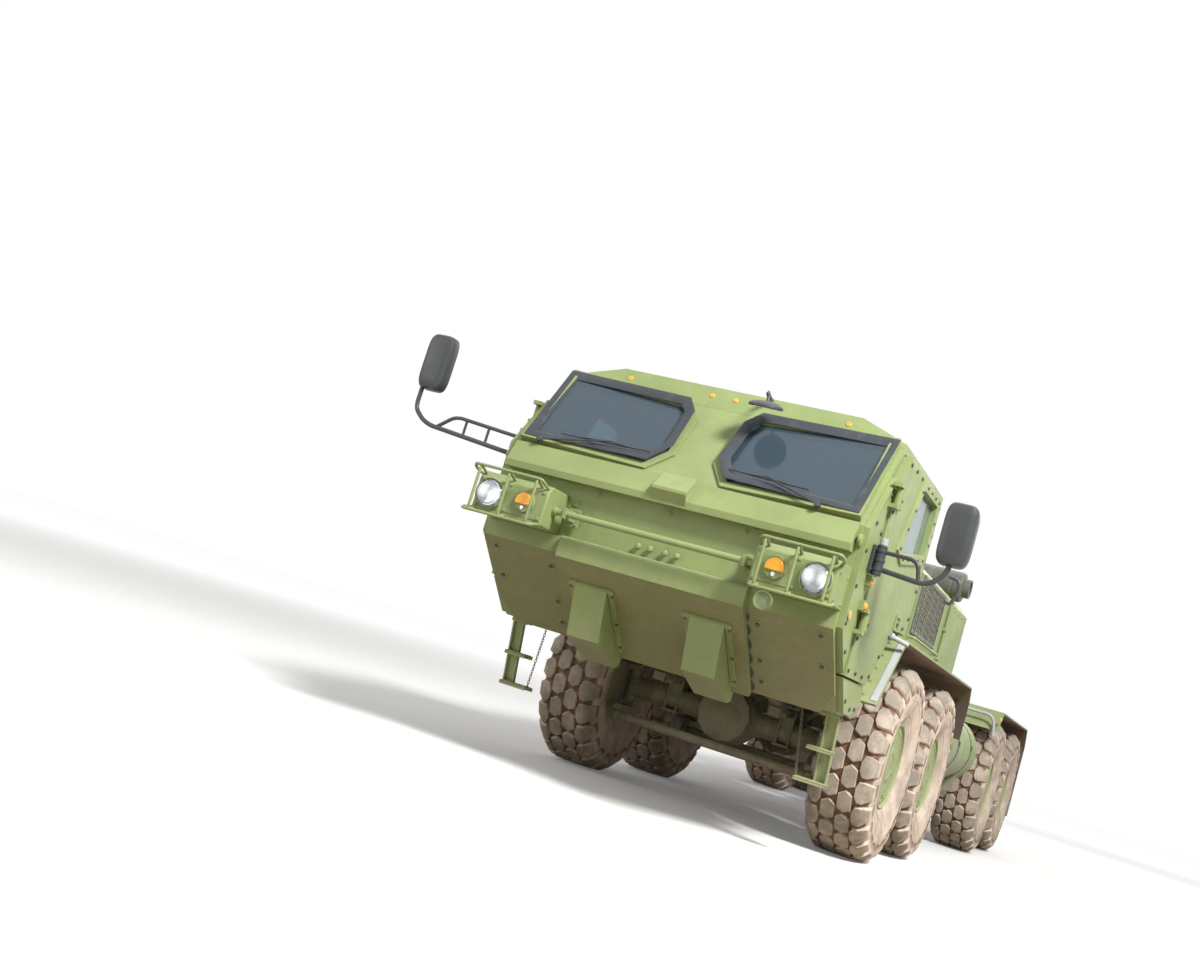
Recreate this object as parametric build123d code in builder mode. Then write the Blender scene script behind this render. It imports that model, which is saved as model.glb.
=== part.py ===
"""Eight-wheel-drive cargo truck with an armoured cab and a hook-lift load handler.

Millimetres. The truck faces -Y, its left side is +X, and the tyres stand on z = 0.
The origin is on the centreline, halfway between the foremost and rearmost points.
"""

import os
from math import atan2, cos, degrees, hypot, pi, radians, sin

from build123d import *

os.makedirs("parts", exist_ok=True)

# Length and axles
AXLE_SPACINGS = (1524, 3810, 1524)
FRONT_OVERHANG = 2580
REAR_OVERHANG = 960
LENGTH = FRONT_OVERHANG + sum(AXLE_SPACINGS) + REAR_OVERHANG
Y1 = FRONT_OVERHANG - LENGTH / 2
Y2 = Y1 + AXLE_SPACINGS[0]
Y3 = Y2 + AXLE_SPACINGS[1]
Y4 = Y3 + AXLE_SPACINGS[2]
REAR_Y = LENGTH / 2

# Wheels
WHEEL_SIDES = 24
TYRE_RADIUS = 671.5
TYRE_WIDTH = 438
TREAD_WIDTH = 372
SHOULDER_RADIUS = 545
BEAD_WIDTH = 310
RIM_RADIUS = 290
TRACK = 2007
HUB_Z = TYRE_RADIUS * cos(pi / WHEEL_SIDES)
LUG_GROOVE_WIDTH = 62
LUG_GROOVE_DEPTH = 34
LUG_GROOVE_LENGTH = 118
HUB_INSET = 130
RUNNING_GAP = 0.3

# Axles, kingpins and steering
KINGPIN_X = 770
KINGPIN_RADIUS = 40
KINGPIN_HALF_HEIGHT = 110
AXLE_TUBE_RADIUS = 75
DIFF_RADIUS = 190
SPRING_X = 425
SPRING_WIDTH = 76
SPRING_HALF = 640
STEER_ARM_REACH = 270
TIE_ROD_RADIUS = 32

# Chassis frame
RAIL_X = 455
RAIL_FLANGE = 85
RAIL_WALL = 10
RAIL_BOTTOM = 930
RAIL_TOP = 1200
RAIL_REACH = 1560
RAIL_FRONT = Y1 - RAIL_REACH
REAR_BEAM_THICKNESS = 35
TOW_LUG_REACH = 95
RAIL_REAR = REAR_Y - TOW_LUG_REACH - REAR_BEAM_THICKNESS

# Cab
CAB_HALF = 1100
CAB_WALL = 40
CAB_REAR = Y1 - 340
CAB_FLOOR = 960
CAB_ARCH_FLOOR = 1440
TUNNEL_HALF = 480
TUNNEL_TOP = 1240
TUNNEL_FRONT = Y1 - 1610
ROOF_TOP = 2590
ROOF_EDGE = 2470
ROOF_FLAT_HALF = CAB_HALF - 310
ROOF_SEAM = 2440
NOSE_Y = Y1 - 2225
NOSE_TOP = 1885
NOSE_KNEE = 1310
CHIN_Y = Y1 - 1650
CHIN_BOTTOM = 877
SCREEN_TOP = (Y1 - 1770, 2441)
ROOF_FRONT = Y1 - 1680

# Windscreens: corners as (x, height up the raked face), on a face turned by SCREEN_YAW
SCREEN_BASE_Y = Y1 - 2244
SCREEN_BASE_Z = 1929
SCREEN_RAKE = degrees(atan2(424, 558))
SCREEN_YAW = 2.0
SCREEN_SIDE = CAB_HALF - 28
SCREEN_OUTLINE = (
    (SCREEN_SIDE, 0),
    (238, 0),
    (124, 172),
    (128, 525),
    (205, 650),
    (SCREEN_SIDE - 6, 700),
)
SCREEN_FRAME_WIDTH = 48
SCREEN_FRAME_DEPTH = 190
GLASS_THICKNESS = 40
GLASS_RECESS = 14

# Doors: outline in the side view, hinged on a pin ahead of the front edge
DOOR_FRONT = Y1 - 1915
DOOR_REAR = Y1 - 620
DOOR_BOTTOM = 1090
DOOR_TOP = 2405
DOOR_OUTER = CAB_HALF + 50
DOOR_INNER = CAB_HALF - 34
DOOR_GAP = 10
HINGE_X = DOOR_OUTER + 22
HINGE_Y = DOOR_FRONT - 12
HINGE_PIN_RADIUS = 14
HINGE_HEIGHTS = (1400, 2130)
WINDOW = ((-1445, 1930), (-1250, 2325), (-765, 2325), (-765, 2000), (-1360, 1900))
DOOR_GLASS_THICKNESS = 40

# Lamps, as x, z and radius, and their guards
LAMP_BOX_FRONT = Y1 - 2495
LAMP_BOX = (640, CAB_HALF + 5, 1400, 1640)
HEADLAMP = (CAB_HALF - 97, 1509, 88)
SIGNAL_LAMP = (CAB_HALF - 328, 1513, 62)
NIGHT_LAMP = (750, 1328, 52)
LAMP_SIDES = 16
GUARD_Y = Y1 - 2569
GUARD_TUBE = 11
GUARD_SIDES = 4
GUARD_POSTS = (682, 884, CAB_HALF - 20)
GUARD_REACH = (660, CAB_HALF + 40)
GUARD_HEIGHTS = (1385, 1655)
GUARD_ROOTS = (LAMP_BOX[2] + 14, LAMP_BOX[3] - 30)
GUARD_ROOT_Y = LAMP_BOX_FRONT + 60

# Engine housing behind the cab
HOUSING_FRONT = CAB_REAR + 20
HOUSING_REAR = Y1 + 1850
HOUSING_HALF = CAB_HALF + 5
HOUSING_BOTTOM = 1450
HOUSING_TOP = 2010
HOUSING_WALL = 12
GRILLE = (Y1 - 270, Y1 + 690, 1550, 1950)

# Fuel tank and boxes
TANK_RADIUS = 305
TANK_SIDES = 20
TANK_X = RAIL_X + 405
TANK_Z = 935
TANK_FRONT = Y1 + 2500
TANK_LENGTH = 1560

# Load handler
PIVOT_Y = Y1 + 7000
PIVOT_Z = 1330
PIVOT_RADIUS = 40
BEAM_X = 200
BEAM_WIDTH = 80
BEAM_BOTTOM = 1262
BEAM_TOP = 1442
ELBOW_Y = Y1 + 4400
ELBOW_Z = 1360
JIB_FRONT = Y1 + 1985
JIB_DEPTH = 230
HOOK_Z = 2930
SUB_X = 412
SUB_WIDTH = 80
SUB_TOP = 1310
RAM_X = 338
RAM_RADIUS = 60
RAM_ROD_RADIUS = 40
RAM_BASE = (Y1 + 3900, 1300)
RAM_EYE = (Y1 + 6050, 1370)
RAM_BARREL = 1890
ARM_RAM_RADIUS = 60
ARM_ROD_RADIUS = 36
ARM_RAM_BASE = (Y1 + 6300, 1270)
ARM_RAM_EYE = (Y1 + 4350, 1060)
ARM_RAM_BARREL = 1450
EYE_GAP = 6

TUBE_SIDES = 8
BOSS_SIDES = 12
SIDES = (("left", 1), ("right", -1))
AXLES = ((1, Y1), (2, Y2), (3, Y3), (4, Y4))


def side_prism(points, x_from, x_to, mode=Mode.ADD):
    """Carry an outline drawn in the side view (y, z) from one x to another."""
    with BuildSketch(Plane.YZ.offset(x_from)) as outline:
        with BuildLine():
            Polyline(*points, close=True)
        make_face()
    extrude(outline.sketch, amount=x_to - x_from, mode=mode)


def front_prism(points, y_from, y_to, mode=Mode.ADD):
    """Carry an outline drawn in the front view (x, z) from one y back to another."""
    with BuildSketch(Plane.XZ.offset(-y_to)) as outline:
        with BuildLine():
            Polyline(*points, close=True)
        make_face()
    extrude(outline.sketch, amount=y_to - y_from, mode=mode)


def block(x, y, z, mode=Mode.ADD):
    """A box between the given pairs of x, y and z."""
    with Locations(((x[0] + x[1]) / 2, (y[0] + y[1]) / 2, (z[0] + z[1]) / 2)):
        Box(abs(x[1] - x[0]), abs(y[1] - y[0]), abs(z[1] - z[0]), mode=mode)


def bar(start, end, radius, mode=Mode.ADD, sides=0):
    """A bar from one point to another, round or with the given number of flat sides."""
    axis = Vector(*end) - Vector(*start)
    with BuildSketch(Plane(origin=start, z_dir=axis)) as section:
        if sides:
            RegularPolygon(radius, sides)
        else:
            Circle(radius)
    extrude(section.sketch, amount=axis.length, mode=mode)


def tube_path(points, radius, sides):
    """A tube of flat sides that follows straight runs, mitred where they meet."""
    with BuildLine() as route:
        Polyline(*points)
    start = route.line @ 0
    with BuildSketch(Plane(origin=start, z_dir=route.line % 0, x_dir=(0, 1, 0))) as section:
        RegularPolygon(radius, sides)
    sweep(section.sketch, path=route.line, transition=Transition.RIGHT)


def save(piece, label):
    """Name a finished piece and write it to its own file."""
    piece.label = label
    export_step(piece, f"parts/{label}.step")


# Frame rails: two channels, open inwards, the crossmembers between them and the cab's mounts
CROSSMEMBERS = (RAIL_FRONT + 60, Y1 + 762, Y1 + 2300, Y1 + 3760, Y3 + 762, Y4 + 330)
CROSSMEMBER_HALF = 55
CAB_MOUNTS = ((Y1 - 1430, TUNNEL_TOP), (CAB_REAR - 90, CAB_ARCH_FLOOR))
CAB_MOUNT_HALF = 50

with BuildPart() as frame_rails:
    inner = RAIL_X - RAIL_FLANGE
    channel = (
        (inner, RAIL_BOTTOM),
        (RAIL_X, RAIL_BOTTOM),
        (RAIL_X, RAIL_TOP),
        (inner, RAIL_TOP),
        (inner, RAIL_TOP - RAIL_WALL),
        (RAIL_X - RAIL_WALL, RAIL_TOP - RAIL_WALL),
        (RAIL_X - RAIL_WALL, RAIL_BOTTOM + RAIL_WALL),
        (inner, RAIL_BOTTOM + RAIL_WALL),
    )
    front_prism(channel, RAIL_FRONT, RAIL_REAR)
    mirror(about=Plane.YZ)
    for y in CROSSMEMBERS:
        block(
            (RAIL_WALL - RAIL_X, RAIL_X - RAIL_WALL),
            (y - CROSSMEMBER_HALF, y + CROSSMEMBER_HALF),
            (RAIL_BOTTOM + RAIL_WALL, RAIL_BOTTOM + 90),
        )
    for y, top in CAB_MOUNTS:
        for side in (1, -1):
            block(
                (side * inner, side * RAIL_X),
                (y - CAB_MOUNT_HALF, y + CAB_MOUNT_HALF),
                (RAIL_TOP - RAIL_WALL, top),
            )
save(frame_rails.part, "frame_rails")

# Rear crossmember: a deep plate with the pintle's bolt holes and two towing lugs
PINTLE_Z = 1000
PINTLE_SPACING = (86, 44)
PINTLE_HOLE = 7.25
REAR_BEAM = (RAIL_REAR, RAIL_REAR + REAR_BEAM_THICKNESS)
TOW_LUG_X = 300
TOW_LUG_Z = 950
TOW_LUG_RADIUS = 48
TOW_LUG_HOLE = 22
TOW_LUG_HALF = 20
BEAM_HALF = 620
TAIL_LAMPS = (385, 505)
TAIL_LAMP_HALF = 48
TAIL_LAMP_DEPTH = 60
TAIL_LAMP_Z = 1085

with BuildPart() as rear_beam:
    block((-BEAM_HALF, BEAM_HALF), REAR_BEAM, (860, 1185))
    for side in (1, -1):
        for x in TAIL_LAMPS:
            block(
                (side * x - TAIL_LAMP_HALF, side * x + TAIL_LAMP_HALF),
                (REAR_BEAM[1], REAR_BEAM[1] + TAIL_LAMP_DEPTH),
                (TAIL_LAMP_Z - TAIL_LAMP_HALF, TAIL_LAMP_Z + TAIL_LAMP_HALF),
            )
    for x in (-TOW_LUG_X, TOW_LUG_X):
        eye = REAR_Y - TOW_LUG_RADIUS
        start = (x - TOW_LUG_HALF, eye, TOW_LUG_Z)
        end = (x + TOW_LUG_HALF, eye, TOW_LUG_Z)
        block(
            (x - TOW_LUG_HALF, x + TOW_LUG_HALF),
            (REAR_BEAM[1], eye),
            (TOW_LUG_Z - TOW_LUG_RADIUS, TOW_LUG_Z + TOW_LUG_RADIUS),
        )
        bar(start, end, TOW_LUG_RADIUS, sides=BOSS_SIDES)
        bar(start, end, TOW_LUG_HOLE, Mode.SUBTRACT)
    with Locations(Plane(origin=(0, REAR_BEAM[1], PINTLE_Z), z_dir=(0, 1, 0), x_dir=(1, 0, 0))):
        with GridLocations(*PINTLE_SPACING, 2, 2):
            Hole(PINTLE_HOLE)
save(rear_beam.part, "rear_beam")


# Cab: one hollow hull, split into the shell and the roof at a level seam
HULL_PROFILE = (
    (CHIN_Y, CHIN_BOTTOM),
    (Y1 - 1480, CHIN_BOTTOM),
    (Y1 - 1290, CAB_FLOOR),
    (Y1 - 860, CAB_ARCH_FLOOR),
    (CAB_REAR, CAB_ARCH_FLOOR),
    (CAB_REAR, ROOF_TOP),
    (ROOF_FRONT, ROOF_TOP),
    SCREEN_TOP,
    (NOSE_Y, NOSE_TOP),
    (NOSE_Y, NOSE_KNEE),
)
DOOR_OUTLINE = (
    (DOOR_FRONT, DOOR_BOTTOM),
    (Y1 - 1340, DOOR_BOTTOM),
    (Y1 - 980, CAB_ARCH_FLOOR + 45),
    (DOOR_REAR, CAB_ARCH_FLOOR + 45),
    (DOOR_REAR, DOOR_TOP),
    (Y1 - 1740, DOOR_TOP),
    (DOOR_FRONT, 2170),
)


def screen_plane(side, lift):
    """The plane of one windscreen's outer face, lifted outwards by a distance."""
    return (
        Plane(origin=(side * SCREEN_SIDE, SCREEN_BASE_Y, SCREEN_BASE_Z), x_dir=(1, 0, 0), z_dir=(0, -1, 0))
        .rotated((-SCREEN_RAKE, 0, -side * SCREEN_YAW))
        .offset(lift)
    )


def screen_points(side):
    """The six corners of one windscreen, in the plane given by screen_plane."""
    return [(side * (x - SCREEN_SIDE), up) for x, up in SCREEN_OUTLINE]


def hull():
    """The hollow cab with door and windscreen openings, before it is split."""
    side_prism(HULL_PROFILE, -CAB_HALF, CAB_HALF)
    block((-TUNNEL_HALF, TUNNEL_HALF), (TUNNEL_FRONT, CAB_REAR), (0, TUNNEL_TOP), Mode.SUBTRACT)
    for side in (1, -1):
        edge = ((ROOF_FLAT_HALF, ROOF_TOP), (CAB_HALF + 1, ROOF_EDGE), (CAB_HALF + 1, ROOF_TOP + 1))
        front_prism([(side * x, z) for x, z in edge], NOSE_Y, CAB_REAR, Mode.SUBTRACT)
    with BuildSketch(Plane.YZ.offset(CAB_WALL - CAB_HALF)) as cavity:
        with BuildLine():
            Polyline(*HULL_PROFILE, close=True)
        make_face()
        offset(amount=-CAB_WALL, kind=Kind.INTERSECTION, mode=Mode.REPLACE)
    with BuildPart(mode=Mode.PRIVATE) as inside:
        extrude(cavity.sketch, amount=2 * (CAB_HALF - CAB_WALL))
        for side in (1, -1):
            edge = (
                (ROOF_FLAT_HALF - CAB_WALL / 2, ROOF_TOP - CAB_WALL),
                (CAB_HALF, ROOF_EDGE - CAB_WALL),
                (CAB_HALF, ROOF_TOP),
            )
            front_prism([(side * x, z) for x, z in edge], NOSE_Y, CAB_REAR, Mode.SUBTRACT)
        block(
            (-TUNNEL_HALF - CAB_WALL, TUNNEL_HALF + CAB_WALL),
            (TUNNEL_FRONT - CAB_WALL, CAB_REAR),
            (0, TUNNEL_TOP + CAB_WALL),
            Mode.SUBTRACT,
        )
    add(inside.part, mode=Mode.SUBTRACT)
    with BuildSketch(Plane.YZ.offset(-CAB_HALF - 1)) as doorway:
        with BuildLine():
            Polyline(*DOOR_OUTLINE, close=True)
        make_face()
        offset(amount=DOOR_GAP, kind=Kind.INTERSECTION, mode=Mode.REPLACE)
    for side in (1, -1):
        with BuildSketch(screen_plane(side, 10)) as opening:
            with BuildLine():
                Polyline(*screen_points(side), close=True)
            make_face()
            offset(amount=-SCREEN_FRAME_WIDTH, kind=Kind.INTERSECTION, mode=Mode.REPLACE)
        extrude(opening.sketch, amount=-240, mode=Mode.SUBTRACT)
    extrude(doorway.sketch, amount=CAB_WALL + 2, mode=Mode.SUBTRACT)
    extrude(doorway.sketch.moved(Location((2 * CAB_HALF - CAB_WALL, 0, 0))),
            amount=CAB_WALL + 2, mode=Mode.SUBTRACT)


with BuildPart() as cab_shell:
    hull()
    split(bisect_by=Plane.XY.offset(ROOF_SEAM), keep=Keep.BOTTOM)
save(cab_shell.part, "cab_shell")

with BuildPart() as cab_roof:
    hull()
    split(bisect_by=Plane.XY.offset(ROOF_SEAM), keep=Keep.TOP)
save(cab_roof.part, "cab_roof")


# Windscreen frames: raised boxes on the raked face, deeper towards the middle
with BuildPart() as screen_frames:
    for side in (1, -1):
        with BuildSketch(screen_plane(side, 0)) as outline:
            with BuildLine():
                Polyline(*screen_points(side), close=True)
            make_face()
            offset(amount=-SCREEN_FRAME_WIDTH, kind=Kind.INTERSECTION, mode=Mode.SUBTRACT)
        extrude(outline.sketch, amount=-SCREEN_FRAME_DEPTH)
    side_prism(
        (
            SCREEN_TOP,
            (NOSE_Y, NOSE_TOP),
            (NOSE_Y, NOSE_TOP - 200),
            (CAB_REAR, NOSE_TOP - 200),
            (CAB_REAR, SCREEN_TOP[1] + 300),
            (SCREEN_TOP[0] + (ROOF_FRONT - SCREEN_TOP[0]) * 2, SCREEN_TOP[1] + 300),
        ),
        -CAB_HALF,
        CAB_HALF,
        Mode.SUBTRACT,
    )
save(screen_frames.part, "screen_frames")

with BuildPart() as screen_glass:
    for side in (1, -1):
        with BuildSketch(screen_plane(side, -GLASS_RECESS)) as pane:
            with BuildLine():
                Polyline(*screen_points(side), close=True)
            make_face()
            offset(amount=-SCREEN_FRAME_WIDTH, kind=Kind.INTERSECTION, mode=Mode.REPLACE)
        extrude(pane.sketch, amount=-GLASS_THICKNESS)
save(screen_glass.part, "screen_glass")

# Sill beam under the windscreens, with its middle hump and the cross rail below
SILL_LIP = (Y1 - 2308, 1738)
SILL_END = 20
HUMP_HALF = 108
HUMP_LIP = (Y1 - 2346, 1795)
CROSS_RAIL = (Y1 - 2374, 1517)
CROSS_RAIL_RADIUS = 19

with BuildPart() as sill_beam:
    side_prism(
        (
            (NOSE_Y, SILL_LIP[1] - 16),
            (SILL_LIP[0], SILL_LIP[1] - 16),
            (SILL_LIP[0] - 6, SILL_LIP[1] + 24),
            (NOSE_Y - 22, NOSE_TOP + 8),
            (NOSE_Y, NOSE_TOP),
        ),
        SILL_END - CAB_HALF,
        CAB_HALF - SILL_END,
    )
    side_prism(
        (
            (NOSE_Y, SILL_LIP[1] - 16),
            (SILL_LIP[0] + 6, SILL_LIP[1] - 16),
            HUMP_LIP,
            (HUMP_LIP[0], HUMP_LIP[1] + 18),
            (NOSE_Y - 5, NOSE_TOP + 30),
            (NOSE_Y, NOSE_TOP),
        ),
        -HUMP_HALF,
        HUMP_HALF,
    )
save(sill_beam.part, "sill_beam")

# Chin armour: corner plates on the hull's nose and the bulged plate over them
CHIN_PLATE = 26
BULGE_HALF = 590
BULGE_TOP = 1404
BULGE_FRONT = Y1 - 2290
BULGE_EDGE_RADIUS = 32
CHIN_CLIP = (CAB_HALF - 100, 975)
CHIN_TOP = 1398
HOOK_COVER_X = (266, 476)
HOOK_COVER = ((-2105, 1165), (-2150, 1158), (-2052, 860), (-1700, 752), (-1640, 770), (-1640, 830))

slope_y = CHIN_Y - NOSE_Y
slope_z = NOSE_KNEE - CHIN_BOTTOM
slope_len = hypot(slope_y, slope_z)
OUT_Y = slope_z / slope_len
OUT_Z = slope_y / slope_len


def nose_strip(thick, top):
    """The side outline of a plate of the given thickness laid on the nose and its slope."""
    front = NOSE_Y - thick
    knee_z = NOSE_KNEE - thick * (1 - OUT_Y) / OUT_Z
    low = (CHIN_Y - thick * OUT_Y, CHIN_BOTTOM - thick * OUT_Z)
    return ((NOSE_Y, top), (front, top), (front, knee_z), low, (CHIN_Y, CHIN_BOTTOM), (NOSE_Y, NOSE_KNEE))


with BuildPart() as chin_armour:
    side_prism(nose_strip(CHIN_PLATE, CHIN_TOP), -CAB_HALF, CAB_HALF)
    for side in (1, -1):
        clip = (
            (CHIN_CLIP[0], 800),
            (CAB_HALF + 1, 800),
            (CAB_HALF + 1, CHIN_CLIP[1]),
            (CHIN_CLIP[0], CHIN_BOTTOM - 24),
        )
        front_prism([(side * x, z) for x, z in clip], NOSE_Y - 100, CHIN_Y + 10, Mode.SUBTRACT)
    side_prism(nose_strip(NOSE_Y - BULGE_FRONT, BULGE_TOP), -BULGE_HALF, BULGE_HALF)
    crest = chin_armour.edges().filter_by(Axis.X).filter_by(
        lambda e: abs(e.center().Z - BULGE_TOP) < 1 and e.center().Y < BULGE_FRONT + 1
    )
    fillet(crest, BULGE_EDGE_RADIUS)
    for side in (1, -1):
        cover = [(Y1 + y, z) for y, z in HOOK_COVER]
        side_prism(cover, side * HOOK_COVER_X[0], side * HOOK_COVER_X[1])
save(chin_armour.part, "chin_armour")

# Lamp boxes with their tube guards, fixed to the nose, and the night lamp under the left one
NIGHT_LAMP_DEPTH = 60
with BuildPart() as lamp_boxes:
    x_in, x_out, low, high = LAMP_BOX
    for side in (1, -1):
        side_prism(
            (
                (NOSE_Y - CHIN_PLATE, low),
                (LAMP_BOX_FRONT, low),
                (LAMP_BOX_FRONT, high - 40),
                (LAMP_BOX_FRONT + 40, high),
                (NOSE_Y, high),
                (NOSE_Y, low),
            ),
            side * x_in,
            side * x_out,
        )
        for z, root_z in zip(GUARD_HEIGHTS, GUARD_ROOTS):
            for x in GUARD_POSTS:
                bar((side * x, GUARD_Y, z), (side * x, GUARD_ROOT_Y, root_z), GUARD_TUBE, sides=GUARD_SIDES)
            ends = ((side * GUARD_REACH[0], GUARD_Y, z), (side * GUARD_REACH[1], GUARD_Y, z))
            bar(*ends, GUARD_TUBE, sides=GUARD_SIDES)
        for x in GUARD_POSTS:
            bar((side * x, GUARD_Y, GUARD_HEIGHTS[0]), (side * x, GUARD_Y, GUARD_HEIGHTS[1]),
                GUARD_TUBE, sides=GUARD_SIDES)
    bar((-x_in, *CROSS_RAIL), (x_in, *CROSS_RAIL), CROSS_RAIL_RADIUS, sides=TUBE_SIDES)
    x, z, radius = NIGHT_LAMP
    bar((x, LAMP_BOX_FRONT, z), (x, LAMP_BOX_FRONT + NIGHT_LAMP_DEPTH, z), radius, sides=BOSS_SIDES)
    block((x - 22, x + 22), (LAMP_BOX_FRONT + 20, LAMP_BOX_FRONT + 32), (z, low + 1))
save(lamp_boxes.part, "lamp_boxes")

LAMP_PROUD = 34


def lamp_pair(lamp, taper):
    """The two lenses of a lamp, narrowing forwards from the boxes' faces."""
    x, z, radius = lamp
    for side in (1, -1):
        with BuildSketch(Plane.XZ.offset(-LAMP_BOX_FRONT)) as lens:
            with Locations((side * x, z)):
                RegularPolygon(radius, LAMP_SIDES)
        extrude(lens.sketch, amount=LAMP_PROUD, taper=taper)


with BuildPart() as headlamps:
    lamp_pair(HEADLAMP, 18)
save(headlamps.part, "headlamps")

with BuildPart() as signal_lamps:
    lamp_pair(SIGNAL_LAMP, 12)
save(signal_lamps.part, "signal_lamps")


# Side plates: bolted armour ahead of and under each door, carrying the hinge pins
PLATE_OUTER = CAB_HALF + 38
PLATE_INSET = 12
LUG_REACH = 62
LUG_HEIGHT = 26
LUG_GAP = 2
LUG_RADIUS = 20
LUG_SIDES = 6
BARREL_HALF = 48
BARREL_RADIUS = 24

with BuildPart() as side_plates:
    with BuildSketch(Plane.YZ.offset(CAB_HALF)) as plate:
        with BuildLine():
            Polyline(*HULL_PROFILE, close=True)
        make_face()
        offset(amount=-PLATE_INSET, kind=Kind.INTERSECTION, mode=Mode.REPLACE)
        with BuildLine():
            Polyline(
                (DOOR_FRONT - DOOR_GAP, DOOR_BOTTOM - DOOR_GAP),
                (Y1 - 1340, DOOR_BOTTOM - DOOR_GAP),
                (Y1 - 1220, CAB_FLOOR - 100),
                (CAB_REAR + 50, CAB_FLOOR - 100),
                (CAB_REAR + 50, ROOF_TOP + 50),
                (DOOR_FRONT - DOOR_GAP, ROOF_TOP + 50),
                close=True,
            )
        make_face(mode=Mode.SUBTRACT)
    extrude(amount=PLATE_OUTER - CAB_HALF)
    for height in HINGE_HEIGHTS:
        for end in (-1, 1):
            near = height + end * (BARREL_HALF + LUG_GAP)
            far = height + end * (BARREL_HALF + LUG_HEIGHT)
            block((PLATE_OUTER - 1, HINGE_X + LUG_RADIUS), (HINGE_Y - LUG_REACH, HINGE_Y), (near, far))
            bar((HINGE_X, HINGE_Y, near), (HINGE_X, HINGE_Y, far), LUG_RADIUS, sides=LUG_SIDES)
        low = height - BARREL_HALF - LUG_HEIGHT
        high = height + BARREL_HALF + LUG_HEIGHT
        bar((HINGE_X, HINGE_Y, low), (HINGE_X, HINGE_Y, high), HINGE_PIN_RADIUS)
    mirror(about=Plane.YZ)
save(side_plates.part, "side_plates")

# Doors, hung on the pins, and the thick glass in them
STRAP_LENGTH = 150
WINDOW_RIM = 62
WINDOW_RIM_PROUD = 14

for name, side in SIDES:
    window = [(Y1 + y, z) for y, z in WINDOW]
    with BuildPart() as door:
        side_prism(DOOR_OUTLINE, side * DOOR_INNER, side * DOOR_OUTER)
        with BuildSketch(Plane.YZ.offset(side * (DOOR_OUTER - 1))) as rim:
            with BuildLine():
                Polyline(*window, close=True)
            make_face()
            offset(amount=WINDOW_RIM, kind=Kind.INTERSECTION, mode=Mode.REPLACE)
        extrude(amount=side * (WINDOW_RIM_PROUD + 1))
        side_prism(window, side * (DOOR_INNER - 1), side * (DOOR_OUTER + 20), Mode.SUBTRACT)
        for height in HINGE_HEIGHTS:
            low = (side * HINGE_X, HINGE_Y, height - BARREL_HALF)
            high = (side * HINGE_X, HINGE_Y, height + BARREL_HALF)
            block(
                (side * (DOOR_OUTER - 1), side * HINGE_X),
                (HINGE_Y + 8, HINGE_Y + STRAP_LENGTH),
                (height - BARREL_HALF, height + BARREL_HALF),
            )
            bar(low, high, BARREL_RADIUS, sides=BOSS_SIDES)
            bar(low, high, HINGE_PIN_RADIUS + RUNNING_GAP, Mode.SUBTRACT)
    save(door.part, f"door_{name}")
    with BuildPart() as door_glass:
        middle = (DOOR_INNER + DOOR_OUTER) / 2
        side_prism(
            window,
            side * (middle - DOOR_GLASS_THICKNESS / 2),
            side * (middle + DOOR_GLASS_THICKNESS / 2),
        )
    save(door_glass.part, f"door_glass_{name}")

# Seats and dashboard inside the cab
SEAT_X = 620
SEAT_FLOOR = CAB_ARCH_FLOOR + CAB_WALL
SEAT_FRONT = Y1 - 1080

with BuildPart() as seats:
    for side in (1, -1):
        width = (side * (SEAT_X - 240), side * (SEAT_X + 240))
        side_prism(
            (
                (SEAT_FRONT, SEAT_FLOOR),
                (CAB_REAR - 140, SEAT_FLOOR),
                (CAB_REAR - 140, SEAT_FLOOR + 90),
                (CAB_REAR - 60, 2240),
                (CAB_REAR - 170, 2240),
                (CAB_REAR - 280, SEAT_FLOOR + 200),
                (SEAT_FRONT - 40, SEAT_FLOOR + 220),
                (SEAT_FRONT - 40, SEAT_FLOOR + 90),
            ),
            *width,
        )
save(seats.part, "seats")

WHEEL_RING = (185, 14)
WHEEL_TILT = 62
with BuildPart() as dashboard:
    inside_half = CAB_HALF - CAB_WALL
    dash_front = NOSE_Y + CAB_WALL
    side_prism(
        (
            (dash_front, 1560),
            (dash_front + 330, 1560),
            (dash_front + 360, 1800),
            (dash_front + 200, 1850),
            (dash_front + 20, 1830),
            (dash_front, 1800),
        ),
        -inside_half,
        inside_half,
    )
    block((-250, 250), (dash_front + 100, dash_front + 360), (TUNNEL_TOP + CAB_WALL, 1600))
    hub = (SEAT_X, Y1 - 1500, 1810)
    bar((SEAT_X, dash_front + 300, 1700), hub, 26, sides=TUBE_SIDES)
    tilt = radians(WHEEL_TILT)
    with BuildSketch(Plane(origin=hub, x_dir=(1, 0, 0), z_dir=(0, cos(tilt), sin(tilt)))) as ring:
        RegularPolygon(WHEEL_RING[0] + WHEEL_RING[1], LAMP_SIDES)
        RegularPolygon(WHEEL_RING[0] - WHEEL_RING[1], LAMP_SIDES, mode=Mode.SUBTRACT)
        Rectangle(2 * WHEEL_RING[0], 40)
        RegularPolygon(45, TUBE_SIDES)
    extrude(amount=22)
save(dashboard.part, "dashboard")

# Mirrors: housings on bent tube arms, the right one on a long two-tube arm
ARM_TUBE = 15
BRANCH_TUBE = 12
BRANCH_SIDES = 6
RUNG_TUBE = 9
LOOP_SIDES = 4
MIRROR_Y = Y1 - 2020
MIRROR_DEPTH = 95
MIRROR_CORNER = 34
MIRROR_MOUNT_X = PLATE_OUTER + 45
MIRROR_CLAMP = (30, 170)
# side, clamp z, then the case: its middle's distance out from the clamp, z, width, height
MIRROR_CASES = ((1, 1745, 374, 1984, 180, 354), (-1, 1880, 752, 2296, 192, 374))
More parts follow.
